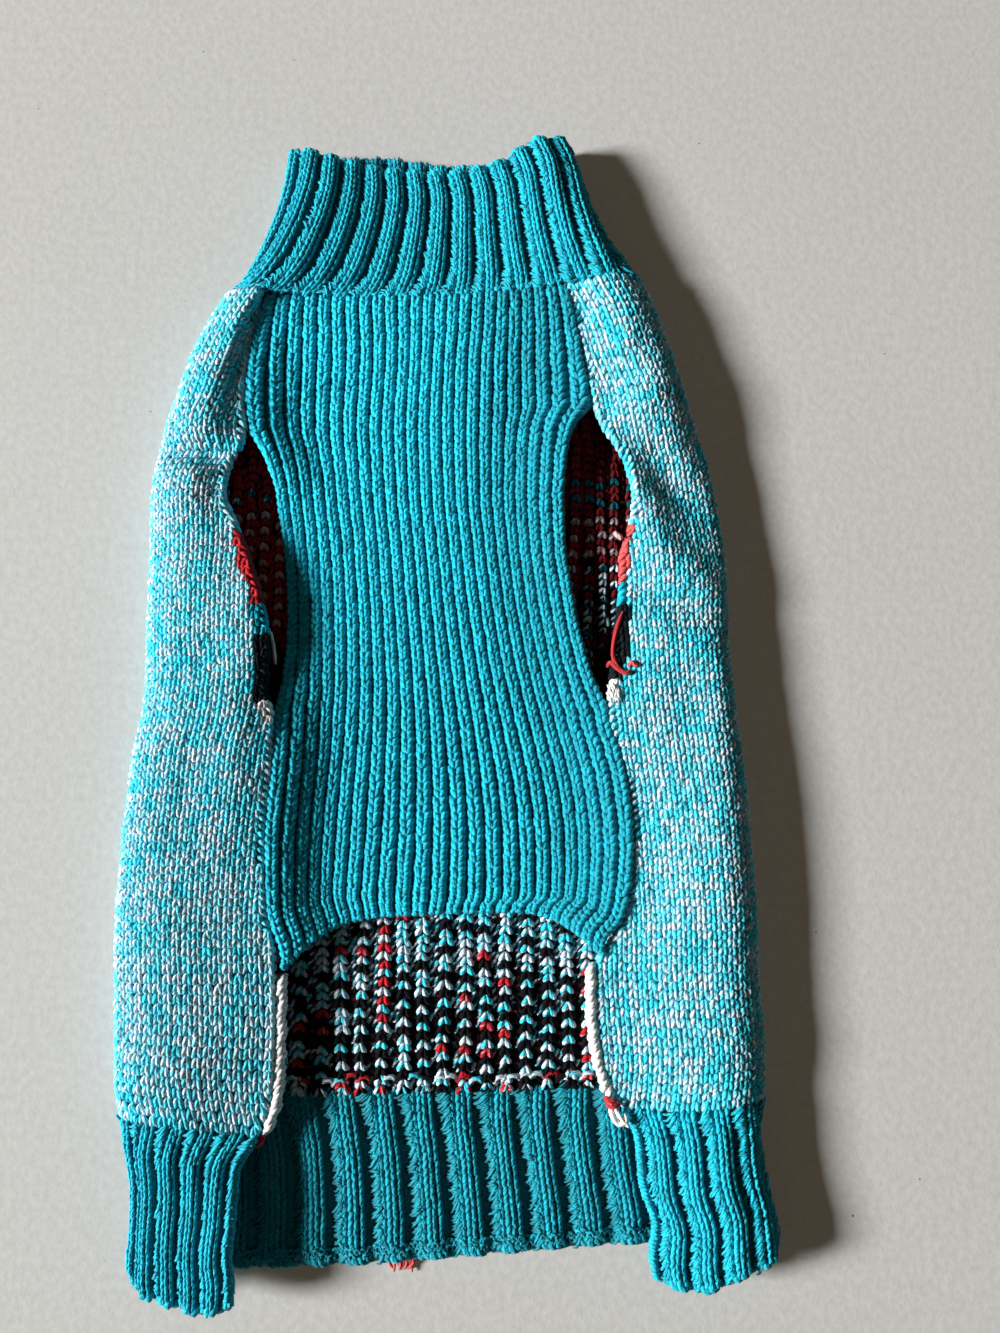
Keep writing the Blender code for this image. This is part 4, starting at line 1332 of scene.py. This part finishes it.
def hem_purl(y, chance):
    if chance < (0.26 if y > -86 else 0.42 if y > -100 else 0.74):
        return BLACK, 0.0
    if chance < 0.84:
        return TEAL_DEEP, 0.4
    return MARL_TEAL, 0.3 + 4.0 * (chance - 0.84)


def left_slit_purl(y, chance):
    return (RED, 0.0) if y > 12 and chance < 0.75 else (BLACK, 0.0)


def right_slit_purl(y, chance):
    first, second = (SHADED_RED, BLACK) if y > 30 else (BLACK, SHADED_RED)
    return (first if chance < 0.8 else second), 0.0


def even_tone(x, y):
    """Yarn in its own tone everywhere."""
    return 1.0


def right_slit_painted_light(x, y):
    """Painted light and shade inside the right leg opening: darker towards the flank, and twice as light at
    its top.
    """
    return mix(1.1, 0.45, ease((x - 40) / 12)) * (2.0 if y > 57 else 1.0)


# What shows of the inside: x and y ranges, the width of a column, and the functions of its colours
# and of its painted light and shade
Window = namedtuple("Window", "left right foot top pitch knit purl tone")
WINDOWS = rows_of(Window, (
    (-56.0, 54.0, -129.0, -65.0, SPECKLED_WALE, hem_knit, hem_purl, even_tone),
    (-76.0, -46.0, -14.0, 88.0, SLIT_WALE, left_slit_knit, left_slit_purl, even_tone),
    (32.0, 64.0, -14.0, 94.0, SLIT_WALE, right_slit_knit, right_slit_purl, right_slit_painted_light),
))

# Paths of a purl and of a seam stitch. across is in columns or seam stitches, along in courses, and
# out in millimetres
PURL_PLACES = (0.36, 0.64)
BLACK_PURL = strand_path((-0.16, -0.07, 0.03, 0.12), (0.20, -0.18, -0.18, 0.20),
                         (-0.2, 0.1, 0.1, -0.2), (0.62, 0.62, 0.62, 0.62))
SLANTED_PURL = strand_path((-0.16, -0.07, 0.03, 0.12), (0.50, 0.10, -0.25, -0.50),
                           (-0.2, 0.1, 0.1, -0.2), (0.62, 0.62, 0.62, 0.62))
SEAM_STITCH = strand_path((-0.60, -0.30, 0.20, 0.55), (0.3, -0.3, -0.4, 0.1),
                          (0.4, 1.3, 1.3, 0.5), (0.82, 0.82, 0.82, 0.82))
SEAM_STITCHES = 31
SEAM_LINE = 0.990
SEAM_YARNS = ((MARL_TEAL, 0.9), (MARL_TEAL, 0.6), (BLACK, 0.0), (RED, 0.0))
SEAM_CHANCES = (0.4, 0.2, 0.25, 0.15)


def place_across(row, x):
    """Place from 0 to 1 across a row of points' x, where it comes to this x."""
    order = np.argsort(row)
    return np.interp(x, row[order], np.linspace(0, 1, len(row))[order])


def lay_strand(yarn, drape, path, across, along, colours, plies):
    """One strand on a drape by a path that holds its heights and radii."""
    lay(yarn, drape, across[None], along[None], path.out[None], path.thick[None], colours, plies)


def knit_column(yarn, drape, window, column, width, step):
    """One column of speckled stitches in a window, and the purls on its two sides.

    width is the drape's width in millimetres, and step one course's share of its height.
    """
    before = None
    lines = drape.points[:, drape.points.shape[1] // 2, 1]
    last = len(lines) - 1
    offset = draw.random() * SPECKLED_COURSE
    for course in range(int((window.top - window.foot) / SPECKLED_COURSE)):
        y = window.top - (course + 0.5) * SPECKLED_COURSE + offset + draw.normal(0, 0.15)
        x = column * window.pitch + 0.5 * math.sin(0.07 * y + column * 1.7) + draw.normal(0, 0.15)
        along = np.interp(-y, -lines, np.linspace(0, 1, len(lines)))
        across = place_across(drape.points[min(int(along * last), last), :, 0], x)
        chance = (draw.random(), draw.random())
        colour, share = window.knit(before, column, x, y, chance)
        before = colour
        plies = random_plies(2, share)
        if share > 0 and draw.random() < 0.4:
            plies[0, 1] = min(share, draw.random())
        size = 1 + draw.normal(0, 0.08)
        # tone is the window's painted light and shade, 1 where there is none.
        tone = window.tone(x, y)
        lay_legs(yarn, drape, SPECKLED_LEG, np.full(2, across), np.full(2, along), np.array((1.0, -1.0)),
                 0.56 * window.pitch * size / width, step * size, 0.95, INSIDE_STRAND,
                 varied(colour, 2, 0.12) * tone, plies * tone, crown=0.3)
        for place in PURL_PLACES:
            colour, share = window.purl(y, draw.random())
            path = BLACK_PURL if colour is BLACK else SLANTED_PURL
            places = across + (place + path.across) * window.pitch / width
            sag = along + path.along * step + draw.normal(0, 0.06) * step
            lay_strand(yarn, drape, path, places, sag, varied(colour, 1, 0.2) * tone, random_plies(1, share))


def knit_inside(material):
    """Speckled stitches in the places where the inside of the back panel shows."""
    drape = inside_drape()
    yarn = Yarn()
    middle = drape.points[len(drape.points) // 2, :, 0]
    width = middle.max() - middle.min()
    step = SPECKLED_COURSE / drape.heights.mean()
    for window in WINDOWS:
        for column in range(int(window.left / window.pitch), int(window.right / window.pitch) + 1):
            knit_column(yarn, drape, window, column, width, step)
    for x in np.linspace(-57.0, 55.0, SEAM_STITCHES) + draw.normal(0, 0.3, SEAM_STITCHES):
        across = place_across(drape.points[-1, :, 0], x)
        colour, share = SEAM_YARNS[draw.choice(len(SEAM_YARNS), p=SEAM_CHANCES)]
        places = across + SEAM_STITCH.across * SPECKLED_SEAM_WIDTH / width
        bend = SEAM_LINE + SEAM_STITCH.along * step + draw.normal(0, 0.15) * step
        lay_strand(yarn, drape, SEAM_STITCH, places, bend, varied(colour, 1, 0.12), random_plies(1, share))
    return make_piece("inside_stitches", yarn, material)


# ---------------------------------------------------------------- belly panel


def belly_drape():
    levels = course_levels(COLLAR_Y, BELLY_CORNER_LEFT[1], BELLY_COURSES + 1)
    return Drape([belly_row(level) for level in levels])


def belly_rise(across):
    """Relief of the belly's ribs, from 0 in the valleys to 1."""
    return np.abs(np.sin(math.pi * np.asarray(across) * BELLY_RIBS)) ** 0.8


def belly_painted_light(across, along):
    """How light the belly's yarn is: painted light on its upper left, and painted shade by its right seam."""
    painted_light_share = (1 - soft_step((across - 0.45) / 0.4)) * (1 - soft_step((along - 0.2) / 0.5))
    gathered = soft_step((across - 0.62) / 0.25)
    return (1 + 0.24 * painted_light_share - 0.24 * gathered)[:, None]


def knit_belly(drape, material):
    """Ribs of one column of stitches each, which open towards the collar."""
    yarn = Yarn()
    places = np.meshgrid(np.arange(BELLY_RIBS), np.arange(BELLY_COURSES), (-1.0, 1.0))
    rib, course, hand = (numbers.ravel() for numbers in places)
    across = (rib + 0.5) / BELLY_RIBS
    along = (course + 0.5) / BELLY_COURSES
    count = len(across)
    sunk_at_seam = 1.3 * np.exp(-(along * BELLY_COURSES / 1.1) ** 2)
    level = RIB_WALL + 1.05 - sunk_at_seam
    # The belly's yarn carries painted light on its upper left and painted shade by its right seam.
    lay_legs(yarn, drape, BELLY_LEG, across, along, hand, 0.95 / BELLY_RIBS, -1 / BELLY_COURSES,
             level, BELLY_STRAND, varied(TEAL, count) * belly_painted_light(across, along), random_plies(count),
             crown=0.9)
    lay_cast_off(yarn, drape, BELLY_RIBS * 2, lambda across: RIB_WALL + 0.1 + 1.1 * belly_rise(across),
                 RIB_WALL, EDGE_STRANDS["belly"], TEAL, path=RIB_END)
    return make_piece("belly_stitches", yarn, material)


# ---------------------------------------------------------------- collar and hem

RIB_HALF_WIDTH = 0.36                       # of a wide rib, in shares of its repeat
COLLAR_WALL_HALF_WIDTH = 0.34               # of the collar's ribs in its wall, under the stitches
COLUMN_PLACES = (-1.5, -0.5, 0.5, 1.5)      # of the four columns on a wide rib
PURLS = 4                                   # strands up a rib's slope for each course
ABOVE_TABLE = 1.2                           # lowest height of a stitch that shows
HEM_MIDDLE_REACH = 68.0                     # x up to which the hem's middle shows

# Wide ribs on one face: how many the face would hold, the place of a rib's middle in its repeat, a
# column's share of the repeat, courses, height of the stitches in the valleys, and 1 where places
# across go to the right
WideRibs = namedtuple("WideRibs", "repeat centre column courses level lean")
COLLAR_OUTSIDE = WideRibs(COLLAR_RIBS, 0.5, 0.155, COLLAR_COURSES, 0.2, -1)
COLLAR_INSIDE = WideRibs(10, 0.5, 0.155, COLLAR_COURSES, 0.2, 1)
HEM_LEFT = WideRibs(7.0, 0.795, 0.155, HEM_COURSES, 0.2, -1)
HEM_MIDDLE = WideRibs(HEM_RIBS_MIDDLE, 0.425, 0.138, HEM_COURSES, RIB_WALL + 0.2, 1)
HEM_RIGHT = WideRibs(6.0, 0.725, 0.155, HEM_COURSES, 0.2, 1)

# Path of a purl from a valley up the next rib's slope. spread is in repeats from the rib's middle,
# wander its unevenness, then how far the linked seam draws it back, slant in courses, and out in
# millimetres
PurlPath = namedtuple("PurlPath", "spread wander gathered slant out thick")
PURL = PurlPath(*map(np.array, (
    (0.49, 0.57, 0.65, 0.74),
    (2.0, 1.5, 1.0, 0.3),
    (0.22, 0.16, 0.08, 0.0),
    (0.55, 0.50, 0.0, -0.55),
    (-0.2, 0.2, 0.85, 1.45),
    (0.55, 0.90, 1.0, 0.9),
)))

# Loops at the collar's seam and of the linked rows near the hem's end. across is in loops, along in
# shares of the height, and out in millimetres
COLLAR_LOOP = strand_path((-0.55, -0.20, 0.20, 0.55), (0.030, -0.012, -0.016, 0.016),
                          (0.1, 0.55, 0.60, 0.2), (0.52, 0.52, 0.52, 0.52))
COLLAR_LOOPS = 110
COLLAR_LOOP_LINE = 0.022
HEM_LOOP = strand_path((-0.55, -0.40, 0.10, 0.60, 0.40), (0.014, -0.008, -0.014, -0.004, 0.014),
                       (-0.2, 0.2, 0.3, 0.2, -0.2), (0.55, 0.55, 0.55, 0.55, 0.55))
HEM_LOOP_LINES = (0.935, 0.968)
COLLAR_END_LOOPS = 118
HEM_END_LOOPS = 24            # on each folded end
HEM_LOOPS_TO_A_RIB = 7        # of a linked row in the hem's middle


def wide_rise(place, centre, half=RIB_HALF_WIDTH):
    """Relief of a wide rib at a place from 0 to 1 across its repeat."""
    away = (np.mod(place, 1.0) - centre) / half
    return np.clip(1 - away ** 2, 0.0, 1.0) ** 0.6


def seam_relief(along):
    """Share of the ribs' relief that is left near the seam, where the linking flattens them."""
    return 0.35 + 0.65 * soft_step(np.asarray(along, dtype=float) / 0.20)


def above_table(points):
    """Which points lie high enough to show."""
    return points[..., 2] > ABOVE_TABLE


def inside_the_mouth(points):
    """Which points of the collar's under side lie past the front of its mouth."""
    return (points[..., 1] > 160.0) & (np.abs(points[..., 0] + 6) < 40)


def between_the_ends(points):
    """Which points lie in the hem's middle, clear of its folded ends."""
    return np.abs(points[..., 0]) < HEM_MIDDLE_REACH


def which_show(drape, kept, across, along):
    """Which places lie on the drape and are kept by their points."""
    return kept(drape.at(across, along, np.zeros(len(across)))) & (across > 0.0) & (across < 1.0)


def lay_rib_column(yarn, drape, ribs, rib, place, kept, colour):
    """One column of steep legs on a wide rib."""
    along = (np.arange(ribs.courses) + 0.5 + (0.25 if place > 0 else 0.0)) / ribs.courses
    across = np.full(ribs.courses, (rib + ribs.centre + place * ribs.column) / ribs.repeat)
    shown = which_show(drape, kept, across, along)
    across, along = across[shown], along[shown]
    count = len(across)
    if not count:
        return
    hand = np.full(count, 1.0 if place in (-0.5, 1.5) else -1.0)
    stands = RELIEF_WIDE * float(wide_rise(ribs.centre + place * ribs.column, ribs.centre))
    radius = drape.width(along) / ribs.repeat * ribs.column * 0.50
    level = ribs.level + stands * seam_relief(along) - radius
    lay_legs(yarn, drape, RIB_LEG, across, along, hand, 0.20 / ribs.repeat, -1 / ribs.courses,
             level, radius, varied(colour, count), random_plies(count))


def lay_purls(yarn, drape, ribs, rib, kept, colour, purl_painted_shades):
    """Purls beside a wide rib, from the valley up the next one's slope."""
    along = even_places(PURLS * ribs.courses)
    across = np.full(len(along), (rib + ribs.centre) / ribs.repeat)
    shown = which_show(drape, kept, across + ribs.lean * 0.5 / ribs.repeat, along)
    across, along = across[shown], along[shown]
    count = len(across)
    if not count:
        return
    calm = seam_relief(along)[:, None]
    spread = PURL.spread + scatter(0.030, count) * PURL.wander
    spread = spread - (1 - calm) * PURL.gathered
    places = across[:, None] + ribs.lean * spread / ribs.repeat
    sag = along[:, None] + PURL.slant * (1 + scatter(0.45, count)) / ribs.courses
    out = ribs.level + PURL.out * calm + 0.25 * (1 - calm) + scatter(0.18, count)
    # Painted shade: the purls low in the valley are darker than those up the slope.
    painted_shades = varied(colour, count, 0.14)[:, None] * np.array(purl_painted_shades)[:, None]
    thick = 0.47 * PURL.thick * (1 + scatter(0.14, count))
    lay(yarn, drape, places, sag, out, thick, painted_shades, random_plies(count))


# The purls' shades darken those low in each valley: painted shade.
def knit_wide_ribs(yarn, drape, ribs, numbers, kept, colour=TEAL, purl_painted_shades=(0.8, 0.95, 1.0, 1.0)):
    """Four columns of steep legs on each of these ribs, and the purls between the ribs.

    kept says which stitches show, by their points.
    """
    for rib in numbers:
        for place in COLUMN_PLACES:
            lay_rib_column(yarn, drape, ribs, rib, place, kept, colour)
        lay_purls(yarn, drape, ribs, rib, kept, colour, purl_painted_shades)


def rib_end_level(ribs):
    """Height of the cast-off over wide ribs, as a function of places across."""
    def level(across):
        return ribs.level - 0.4 + 0.9 * RELIEF_WIDE * wide_rise(across * ribs.repeat, ribs.centre)
    return level


def collar_drape(rows):
    columns = COLLAR_RIBS * 8 + 1
    return Drape([evenly(collar_row(share), columns, (0, 2)) for share in np.linspace(0, 1, rows)])


def lay_collar_seam(yarn, drape):
    """Loops that link the collar to the body, where they show."""
    centre = even_places(COLLAR_LOOPS) + draw.normal(0, 0.05, COLLAR_LOOPS) / COLLAR_LOOPS
    centre = centre[above_table(drape.at(centre, np.zeros(COLLAR_LOOPS), np.zeros(COLLAR_LOOPS)))]
    count = len(centre)
    places = centre[:, None] + COLLAR_LOOP.across / COLLAR_LOOPS
    bend = COLLAR_LOOP_LINE + COLLAR_LOOP.along + scatter(0.008, count)
    out = COLLAR_LOOP.out + scatter(0.12, count)
    thick = np.broadcast_to(COLLAR_LOOP.thick, out.shape)
    lay(yarn, drape, places, bend, out, thick, varied(TEAL, count, 0.14), random_plies(count))


def knit_collar(drape, material):
    """Wide ribs round the collar's outside, and those of its inside that show past its mouth's front."""
    yarn = Yarn()
    knit_wide_ribs(yarn, drape, COLLAR_OUTSIDE, range(COLLAR_RIBS), above_table)
    lay_cast_off(yarn, drape, COLLAR_END_LOOPS, rib_end_level(COLLAR_OUTSIDE), RIB_WALL,
                 EDGE_STRANDS["collar"], TEAL)
    lay_collar_seam(yarn, drape)
    under_side = [row[int(len(row) * 0.62):] for row in drape.points]
    inner = Drape([[(x, y, RIB_WALL - ROOT_DEPTH) for x, y, z in row] for row in under_side])
    knit_wide_ribs(yarn, inner, COLLAR_INSIDE, range(COLLAR_INSIDE.repeat), inside_the_mouth)
    return make_piece("collar_stitches", yarn, material)


HEM_POINTS = 8            # grid points for one rib of the middle, or one ninth of an end
HEM_END_COLUMNS = 9 * HEM_POINTS + 1
HEM_MIDDLE_COLUMNS = HEM_RIBS_MIDDLE * HEM_POINTS + 1


def hem_rows(rows):
    """Left end, middle and right end of the hem rib, each as rows of points."""
    left, middle, right = [], [], []
    for share in np.linspace(0, 1, rows):
        row = hem_row(share)
        left.append(evenly([p for p in row if p[3] <= 2.0], HEM_END_COLUMNS, (0, 2)))
        middle.append(evenly([p for p in row if 2.0 <= p[3] <= 3.0], HEM_MIDDLE_COLUMNS, (0, 2)))
        right.append(evenly([p for p in row if p[3] >= 3.0], HEM_END_COLUMNS, (0, 2)))
    return np.array(left)[..., :3], np.array(middle)[..., :3], np.array(right)[..., :3]


def hem_faces(rows):
    """Both faces of the hem's cloth, with ribs outside on its ends and inside in its middle."""
    left, middle, right = hem_rows(rows)
    drape = Drape(np.concatenate((left, middle[:, 1:], right[:, 1:]), axis=1))
    ends = np.linspace(0, 1, HEM_END_COLUMNS)
    between = np.arange(1, HEM_MIDDLE_COLUMNS - 1) / HEM_POINTS
    outer = np.concatenate((wide_rise(ends * HEM_LEFT.repeat, HEM_LEFT.centre), np.zeros(len(between)),
                            wide_rise((1 - ends) * HEM_RIGHT.repeat, HEM_RIGHT.centre)))
    inner = np.concatenate((np.zeros(len(ends)), wide_rise(between, HEM_MIDDLE.centre), np.zeros(len(ends))))
    stands = off_table(drape, 1.8)
    calm = seam_relief(np.linspace(0, 1, rows))[:, None, None]
    return (drape.points + drape.normals * (outer[:, None] * calm * 1.65 - 0.5) * stands,
            drape.points - drape.normals * (RIB_WALL - 0.4 + inner[:, None] * calm * 1.3))


def plain_teal(points):
    """Colours and plies of teal loops."""
    return varied(TEAL, len(points)), random_plies(len(points))


def lay_hem_loops(yarn, drape, line):
    """One linked row of loops over the ribs of the hem's middle."""
    count = HEM_MIDDLE.repeat * HEM_LOOPS_TO_A_RIB
    centre = (np.arange(count) + draw.random(count)) / count
    places = centre[:, None] + HEM_LOOP.across / count
    bend = line + HEM_LOOP.along + scatter(0.006, count)
    ribs = wide_rise(places * HEM_MIDDLE.repeat, HEM_MIDDLE.centre)
    out = RIB_WALL + RELIEF_WIDE * (0.30 + 0.70 * ribs)
    out = out + HEM_LOOP.out + scatter(0.15, count)
    thick = np.broadcast_to(HEM_LOOP.thick, out.shape)
    shown = between_the_ends(drape.at(centre, np.full(count, line), np.zeros(count)))
    count = shown.sum()
    lay(yarn, drape, places[shown], bend[shown], out[shown], thick[shown],
        varied(HEM_INSIDE_SHADED_TEAL, count, 0.14), random_plies(count))


def knit_hem(material):
    """Wide ribs on the hem's two folded ends and on the inside of its middle, with their edges."""
    yarn = Yarn()
    left, middle, right = hem_rows(HEM_STITCH_ROWS)
    left, middle, right = Drape(left), Drape(middle), Drape(right[:, ::-1])
    for drape, ribs in ((left, HEM_LEFT), (right, HEM_RIGHT)):
        knit_wide_ribs(yarn, drape, ribs, range(-1, int(ribs.repeat) + 1), above_table)
        lay_cast_off(yarn, drape, HEM_END_LOOPS, rib_end_level(ribs), RIB_WALL, EDGE_STRANDS["hem"], TEAL)
        edge = Drape(drape.points[:, ::-1])
        lay_selvedge(yarn, edge, 2 * HEM_COURSES, 0.4, RIB_WALL, EDGE_STRANDS["hem_side"], plain_teal)
    # The hem's middle is darker, with deeper painted shade in its valleys.
    knit_wide_ribs(yarn, middle, HEM_MIDDLE, range(HEM_RIBS_MIDDLE), between_the_ends,
                   HEM_INSIDE_SHADED_TEAL, (0.45, 0.65, 0.9, 1.0))
    lay_cast_off(yarn, middle, HEM_RIBS_MIDDLE * 6, rib_end_level(HEM_MIDDLE), RIB_WALL,
                 EDGE_STRANDS["hem_middle"], HEM_INSIDE_SHADED_TEAL)
    for line in HEM_LOOP_LINES:
        lay_hem_loops(yarn, middle, line)
    return make_piece("hem_stitches", yarn, material)


# ---------------------------------------------------------------- edging chains and loose ends


def chain_edge(column, y):
    """x of a flank's edge at y, where the flank's courses bend towards the hem seam."""
    place = 0.0 if column == "left_edge" else 5.0
    seam = read_row(HEM_LINES, "seam", place)
    share = (HEM_BEND_FROM - y) / (HEM_BEND_FROM - seam)
    return read_row(BODY_SECTIONS, column, mix(HEM_BEND_FROM, HEM_Y, max(0.0, share)))


def crochet_chain(name, ends, side, material):
    """White chain of plump twisted loops beside a flank's edge."""
    start, end = ends
    column = "left_edge" if side < 0 else "right_edge"
    rows = []
    for y in np.linspace(start, end, CHAIN_ROWS):
        x = chain_edge(column, y) - side * (SEAM_GAP + CHAIN_WIDTH / 2)
        z = read_row(BODY_HEIGHTS, column, y) - BODY_WALL / 2
        x += 0.25 * math.sin(y * 0.9)
        rows.append([(x - CHAIN_REACH, y, z), (x, y, z), (x + CHAIN_REACH, y, z)])
    drape = Drape(rows)
    lumps = 2 * round((start - end) / CHAIN_LOOP)
    yarn = Yarn()
    across = np.full(lumps, 0.5) + draw.normal(0, 0.02, lumps)
    lay_legs(yarn, drape, ROPE_LUMP, across, even_places(lumps), np.ones(lumps), 1.0, -1 / lumps,
             1.35, CHAIN_STRAND, varied(EDGING_WHITE, lumps, 0.05), random_plies(lumps, 0.0))
    middle, low = np.full(CHAIN_CORE_RINGS, 0.5), np.full(CHAIN_CORE_RINGS, 0.2)
    core = drape.at(middle, np.linspace(0.01, 0.99, CHAIN_CORE_RINGS), low)
    lay_tail(yarn, core, CHAIN_CORE, EDGING_WHITE, CHAIN_CORE_RINGS)
    return make_piece(name, yarn, material)


# Loose tails: the points they run through, radius, colour and number of rings
Tail = namedtuple("Tail", "points radius colour rings")
LEG_TAILS = (
    Tail(((55.0, 22.7, 13.2), (53.0, 17.6, 13.1), (52.0, 12.5, 12.5), (52.0, 8.0, 12.6), (54.0, 4.4, 13.3),
          (56.4, 3.0, 13.4)), 0.7, RED, 14),
    Tail(((50.0, 5.6, 11.4), (51.2, 6.8, 12.4), (53.2, 5.0, 13.2), (55.4, 3.6, 13.8), (57.4, 4.2, 13.3)),
         0.8, RED, 14),
    Tail(((56.4, 5.6, 13.0), (57.6, 6.8, 13.7), (59.2, 5.4, 13.3)), 0.75, CORAL, 14),
    Tail(((52.8, 48.0, 12.0), (53.6, 46.6, 13.4), (55.2, 45.4, 13.2)), 0.9, PINK, 9),
)
EDGE_TAILS = (
    Tail(((-54.2, 17.0, 11.0), (-53.0, 12.0, 11.6), (-52.4, 6.4, 11.0)), 0.55, EDGING_WHITE, 14),
    Tail(((-50.6, -108.0, 9.0), (-48.8, -111.4, 10.4), (-47.2, -110.4, 9.8), (-46.6, -113.2, 9.2)),
         0.6, TEAL, 14),
    Tail(((-52.4, -131.8, 9.2), (-53.6, -135.0, 10.2), (-55.4, -136.8, 9.8)), 0.9, RED, 9),
    Tail(((47.8, -122.4, 9.8), (49.6, -123.2, 11.6), (52.0, -122.8, 10.6)), 0.95, RED, 9),
    Tail(((48.2, -124.2, 9.8), (50.2, -124.8, 11.6), (52.6, -124.2, 10.6)), 0.85, RED, 9),
    Tail(((49.8, -124.4, 10.4), (50.0, -127.0, 11.6), (51.8, -129.4, 12.0), (54.0, -128.8, 12.2),
          (53.6, -126.6, 11.6)), 0.85, EDGING_WHITE, 14),
    Tail(((50.8, -124.8, 10.8), (52.2, -127.2, 12.2), (55.0, -130.4, 12.2)), 0.7, EDGING_WHITE, 14),
)
HEM_TAILS = (
    Tail(((-78.6, -177.0, 6.6), (-77.0, -180.6, 6.2), (-78.6, -183.6, 5.2)), 0.7, TEAL, 14),
)

# Tufts of white ends at the foot of the leg openings: x, y, how far the ends scatter in x, the step
# from one to the next in y, their three heights, how far middle and tip lie from the start, radius
Tuft = namedtuple("Tuft", "x y scatter step heights middle tip radius")
TUFTS = (
    Tuft(51.4, 1.2, 0.8, -0.25, (11.2, 12.8, 12.6), (0.7, 1.6), (1.2, 3.6), 0.42),
    Tuft(-57.0, -5.0, 0.9, -0.2, (12.4, 13.4, 12.8), (0.5, 1.5), (0.9, 3.2), 0.38),
)
TUFT_ENDS = 14
CORAL_ENDS = 7


def lay_tails(yarn, tails):
    """Loose tails from a table."""
    for tail in tails:
        lay_tail(yarn, tail.points, tail.radius, tail.colour, tail.rings)


def loose_ends(material):
    """Tails, knots and tufts of yarn at the openings and along the hem."""
    yarn = Yarn()
    lay_tails(yarn, LEG_TAILS)
    for k in range(TUFT_ENDS):
        for tuft in TUFTS:
            x = tuft.x + draw.normal(0, tuft.scatter)
            y = tuft.y + tuft.step * k + draw.normal(0, 0.5)
            start, middle, tip = tuft.heights
            points = ((x, y, start), (x + tuft.middle[0], y - tuft.middle[1], middle),
                      (x + tuft.tip[0] + draw.normal(0, 0.5), y - tuft.tip[1], tip))
            lay_tail(yarn, points, tuft.radius, EDGING_WHITE, 8)
    lay_tails(yarn, EDGE_TAILS)
    for k in range(CORAL_ENDS):
        start = -15.4 + 1.1 * k + draw.normal(0, 0.3)
        points = ((start, -169.6, 0.9), (start + draw.normal(0, 0.8), -172.8, 1.0 + 0.6 * draw.random()),
                  (start + draw.normal(0, 1.6), -175.0 - draw.random(), 0.7))
        lay_tail(yarn, points, 0.5, CORAL, 7)
    lay_tails(yarn, HEM_TAILS)
    return make_piece("loose_ends", yarn, material)


# ---------------------------------------------------------------- build

place_camera()
light_the_room()
lay_floor()

teal_yarn = yarn_finish("teal_yarn", 1.1, sheen=0.17, tint=(0.55, 0.93, 1.0))
marl_yarn = yarn_finish("marl_yarn", 0.8, two_tone=MARL_WHITE, sheen=0.08, gloss=0.12)
inside_yarn = yarn_finish("inside_yarn", 0.8, two_tone=INSIDE_WHITE, sheen=0.03, tint=(1.0, 1.0, 1.0),
                          gloss=0.05)
speckled_yarn = yarn_finish("speckled_yarn", 1.1, tint=(1.0, 0.9, 0.9))
white_yarn = yarn_finish("white_yarn", 1.4, tint=(1.0, 1.0, 1.0))
teal_wall = wall_finish("teal_wall", BELLY_RIBS * 2, BELLY_COURSES, (TEAL_PAINTED_SHADE, TEAL_PAINTED_SHADE, 0.0))
marl_wall = wall_finish("marl_wall", MARL_WALES, FLANK_COURSES, (MARL_PAINTED_SHADE, MARL_TEAL, 0.40))
speckled_wall = wall_finish("speckled_wall", SPECKLED_WALES, FLANK_COURSES, (BLACK, SHADED_RED, 0.30))

body_rows = [evenly(body_row(y), BODY_GRID) for y in course_levels(COLLAR_Y, HEM_Y, BODY_GRID)]
back = make_wall("back_panel_cloth", *cloth_faces(body_rows, 0.8, BODY_WALL - 0.4),
                 (marl_wall, speckled_wall))
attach(back, "root")
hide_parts("back_panel")
back_stitches = [knit_flank(side, marl_yarn) for side in (-1, 1)] + [knit_inside(inside_yarn)]
for piece in back_stitches:
    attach(piece, "root")

belly_face = belly_drape()
belly_shown = Drape(belly_face.points[::2])
belly_relief = belly_rise(np.linspace(0, 1, BELLY_RIBS * 4 + 1))[None, :, None]
belly_outside = belly_shown.points + belly_shown.normals * (RIB_WALL - ROOT_DEPTH + 0.9 * belly_relief)
belly_inside = belly_shown.points + belly_shown.normals * 0.1
belly = make_wall("belly_panel_cloth", belly_outside, belly_inside, (teal_wall,))
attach(belly, "root")
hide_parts("belly_panel")
belly_stitches = knit_belly(belly_face, teal_yarn)

collar_face = collar_drape(COLLAR_ROWS)
collar_relief = wide_rise(np.arange(COLLAR_RIBS * 8 + 1) / 8, 0.5, COLLAR_WALL_HALF_WIDTH)[None]
collar = make_wall("collar_cloth", *ribbed_faces(collar_face, collar_relief, 1.5), (teal_wall,), ring=True)
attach(collar, "root")
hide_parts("collar")
collar_stitches = knit_collar(collar_face, teal_yarn)

hem = make_wall("hem_rib_cloth", *hem_faces(HEM_ROWS), (teal_wall,))
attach(hem, "root")
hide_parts("hem_rib")
hem_stitches = knit_hem(teal_yarn)
for piece in (belly_stitches, collar_stitches, hem_stitches):
    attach(piece, "root")

for name, ends, side in (("edge_chain_left", CHAIN_LEFT_ENDS, -1), ("edge_chain_right", CHAIN_RIGHT_ENDS, 1)):
    chain = crochet_chain(name + "_loops", ends, side, white_yarn)
    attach(chain, "root")
    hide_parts(name)
tails = loose_ends(speckled_yarn)
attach(tails, "root")
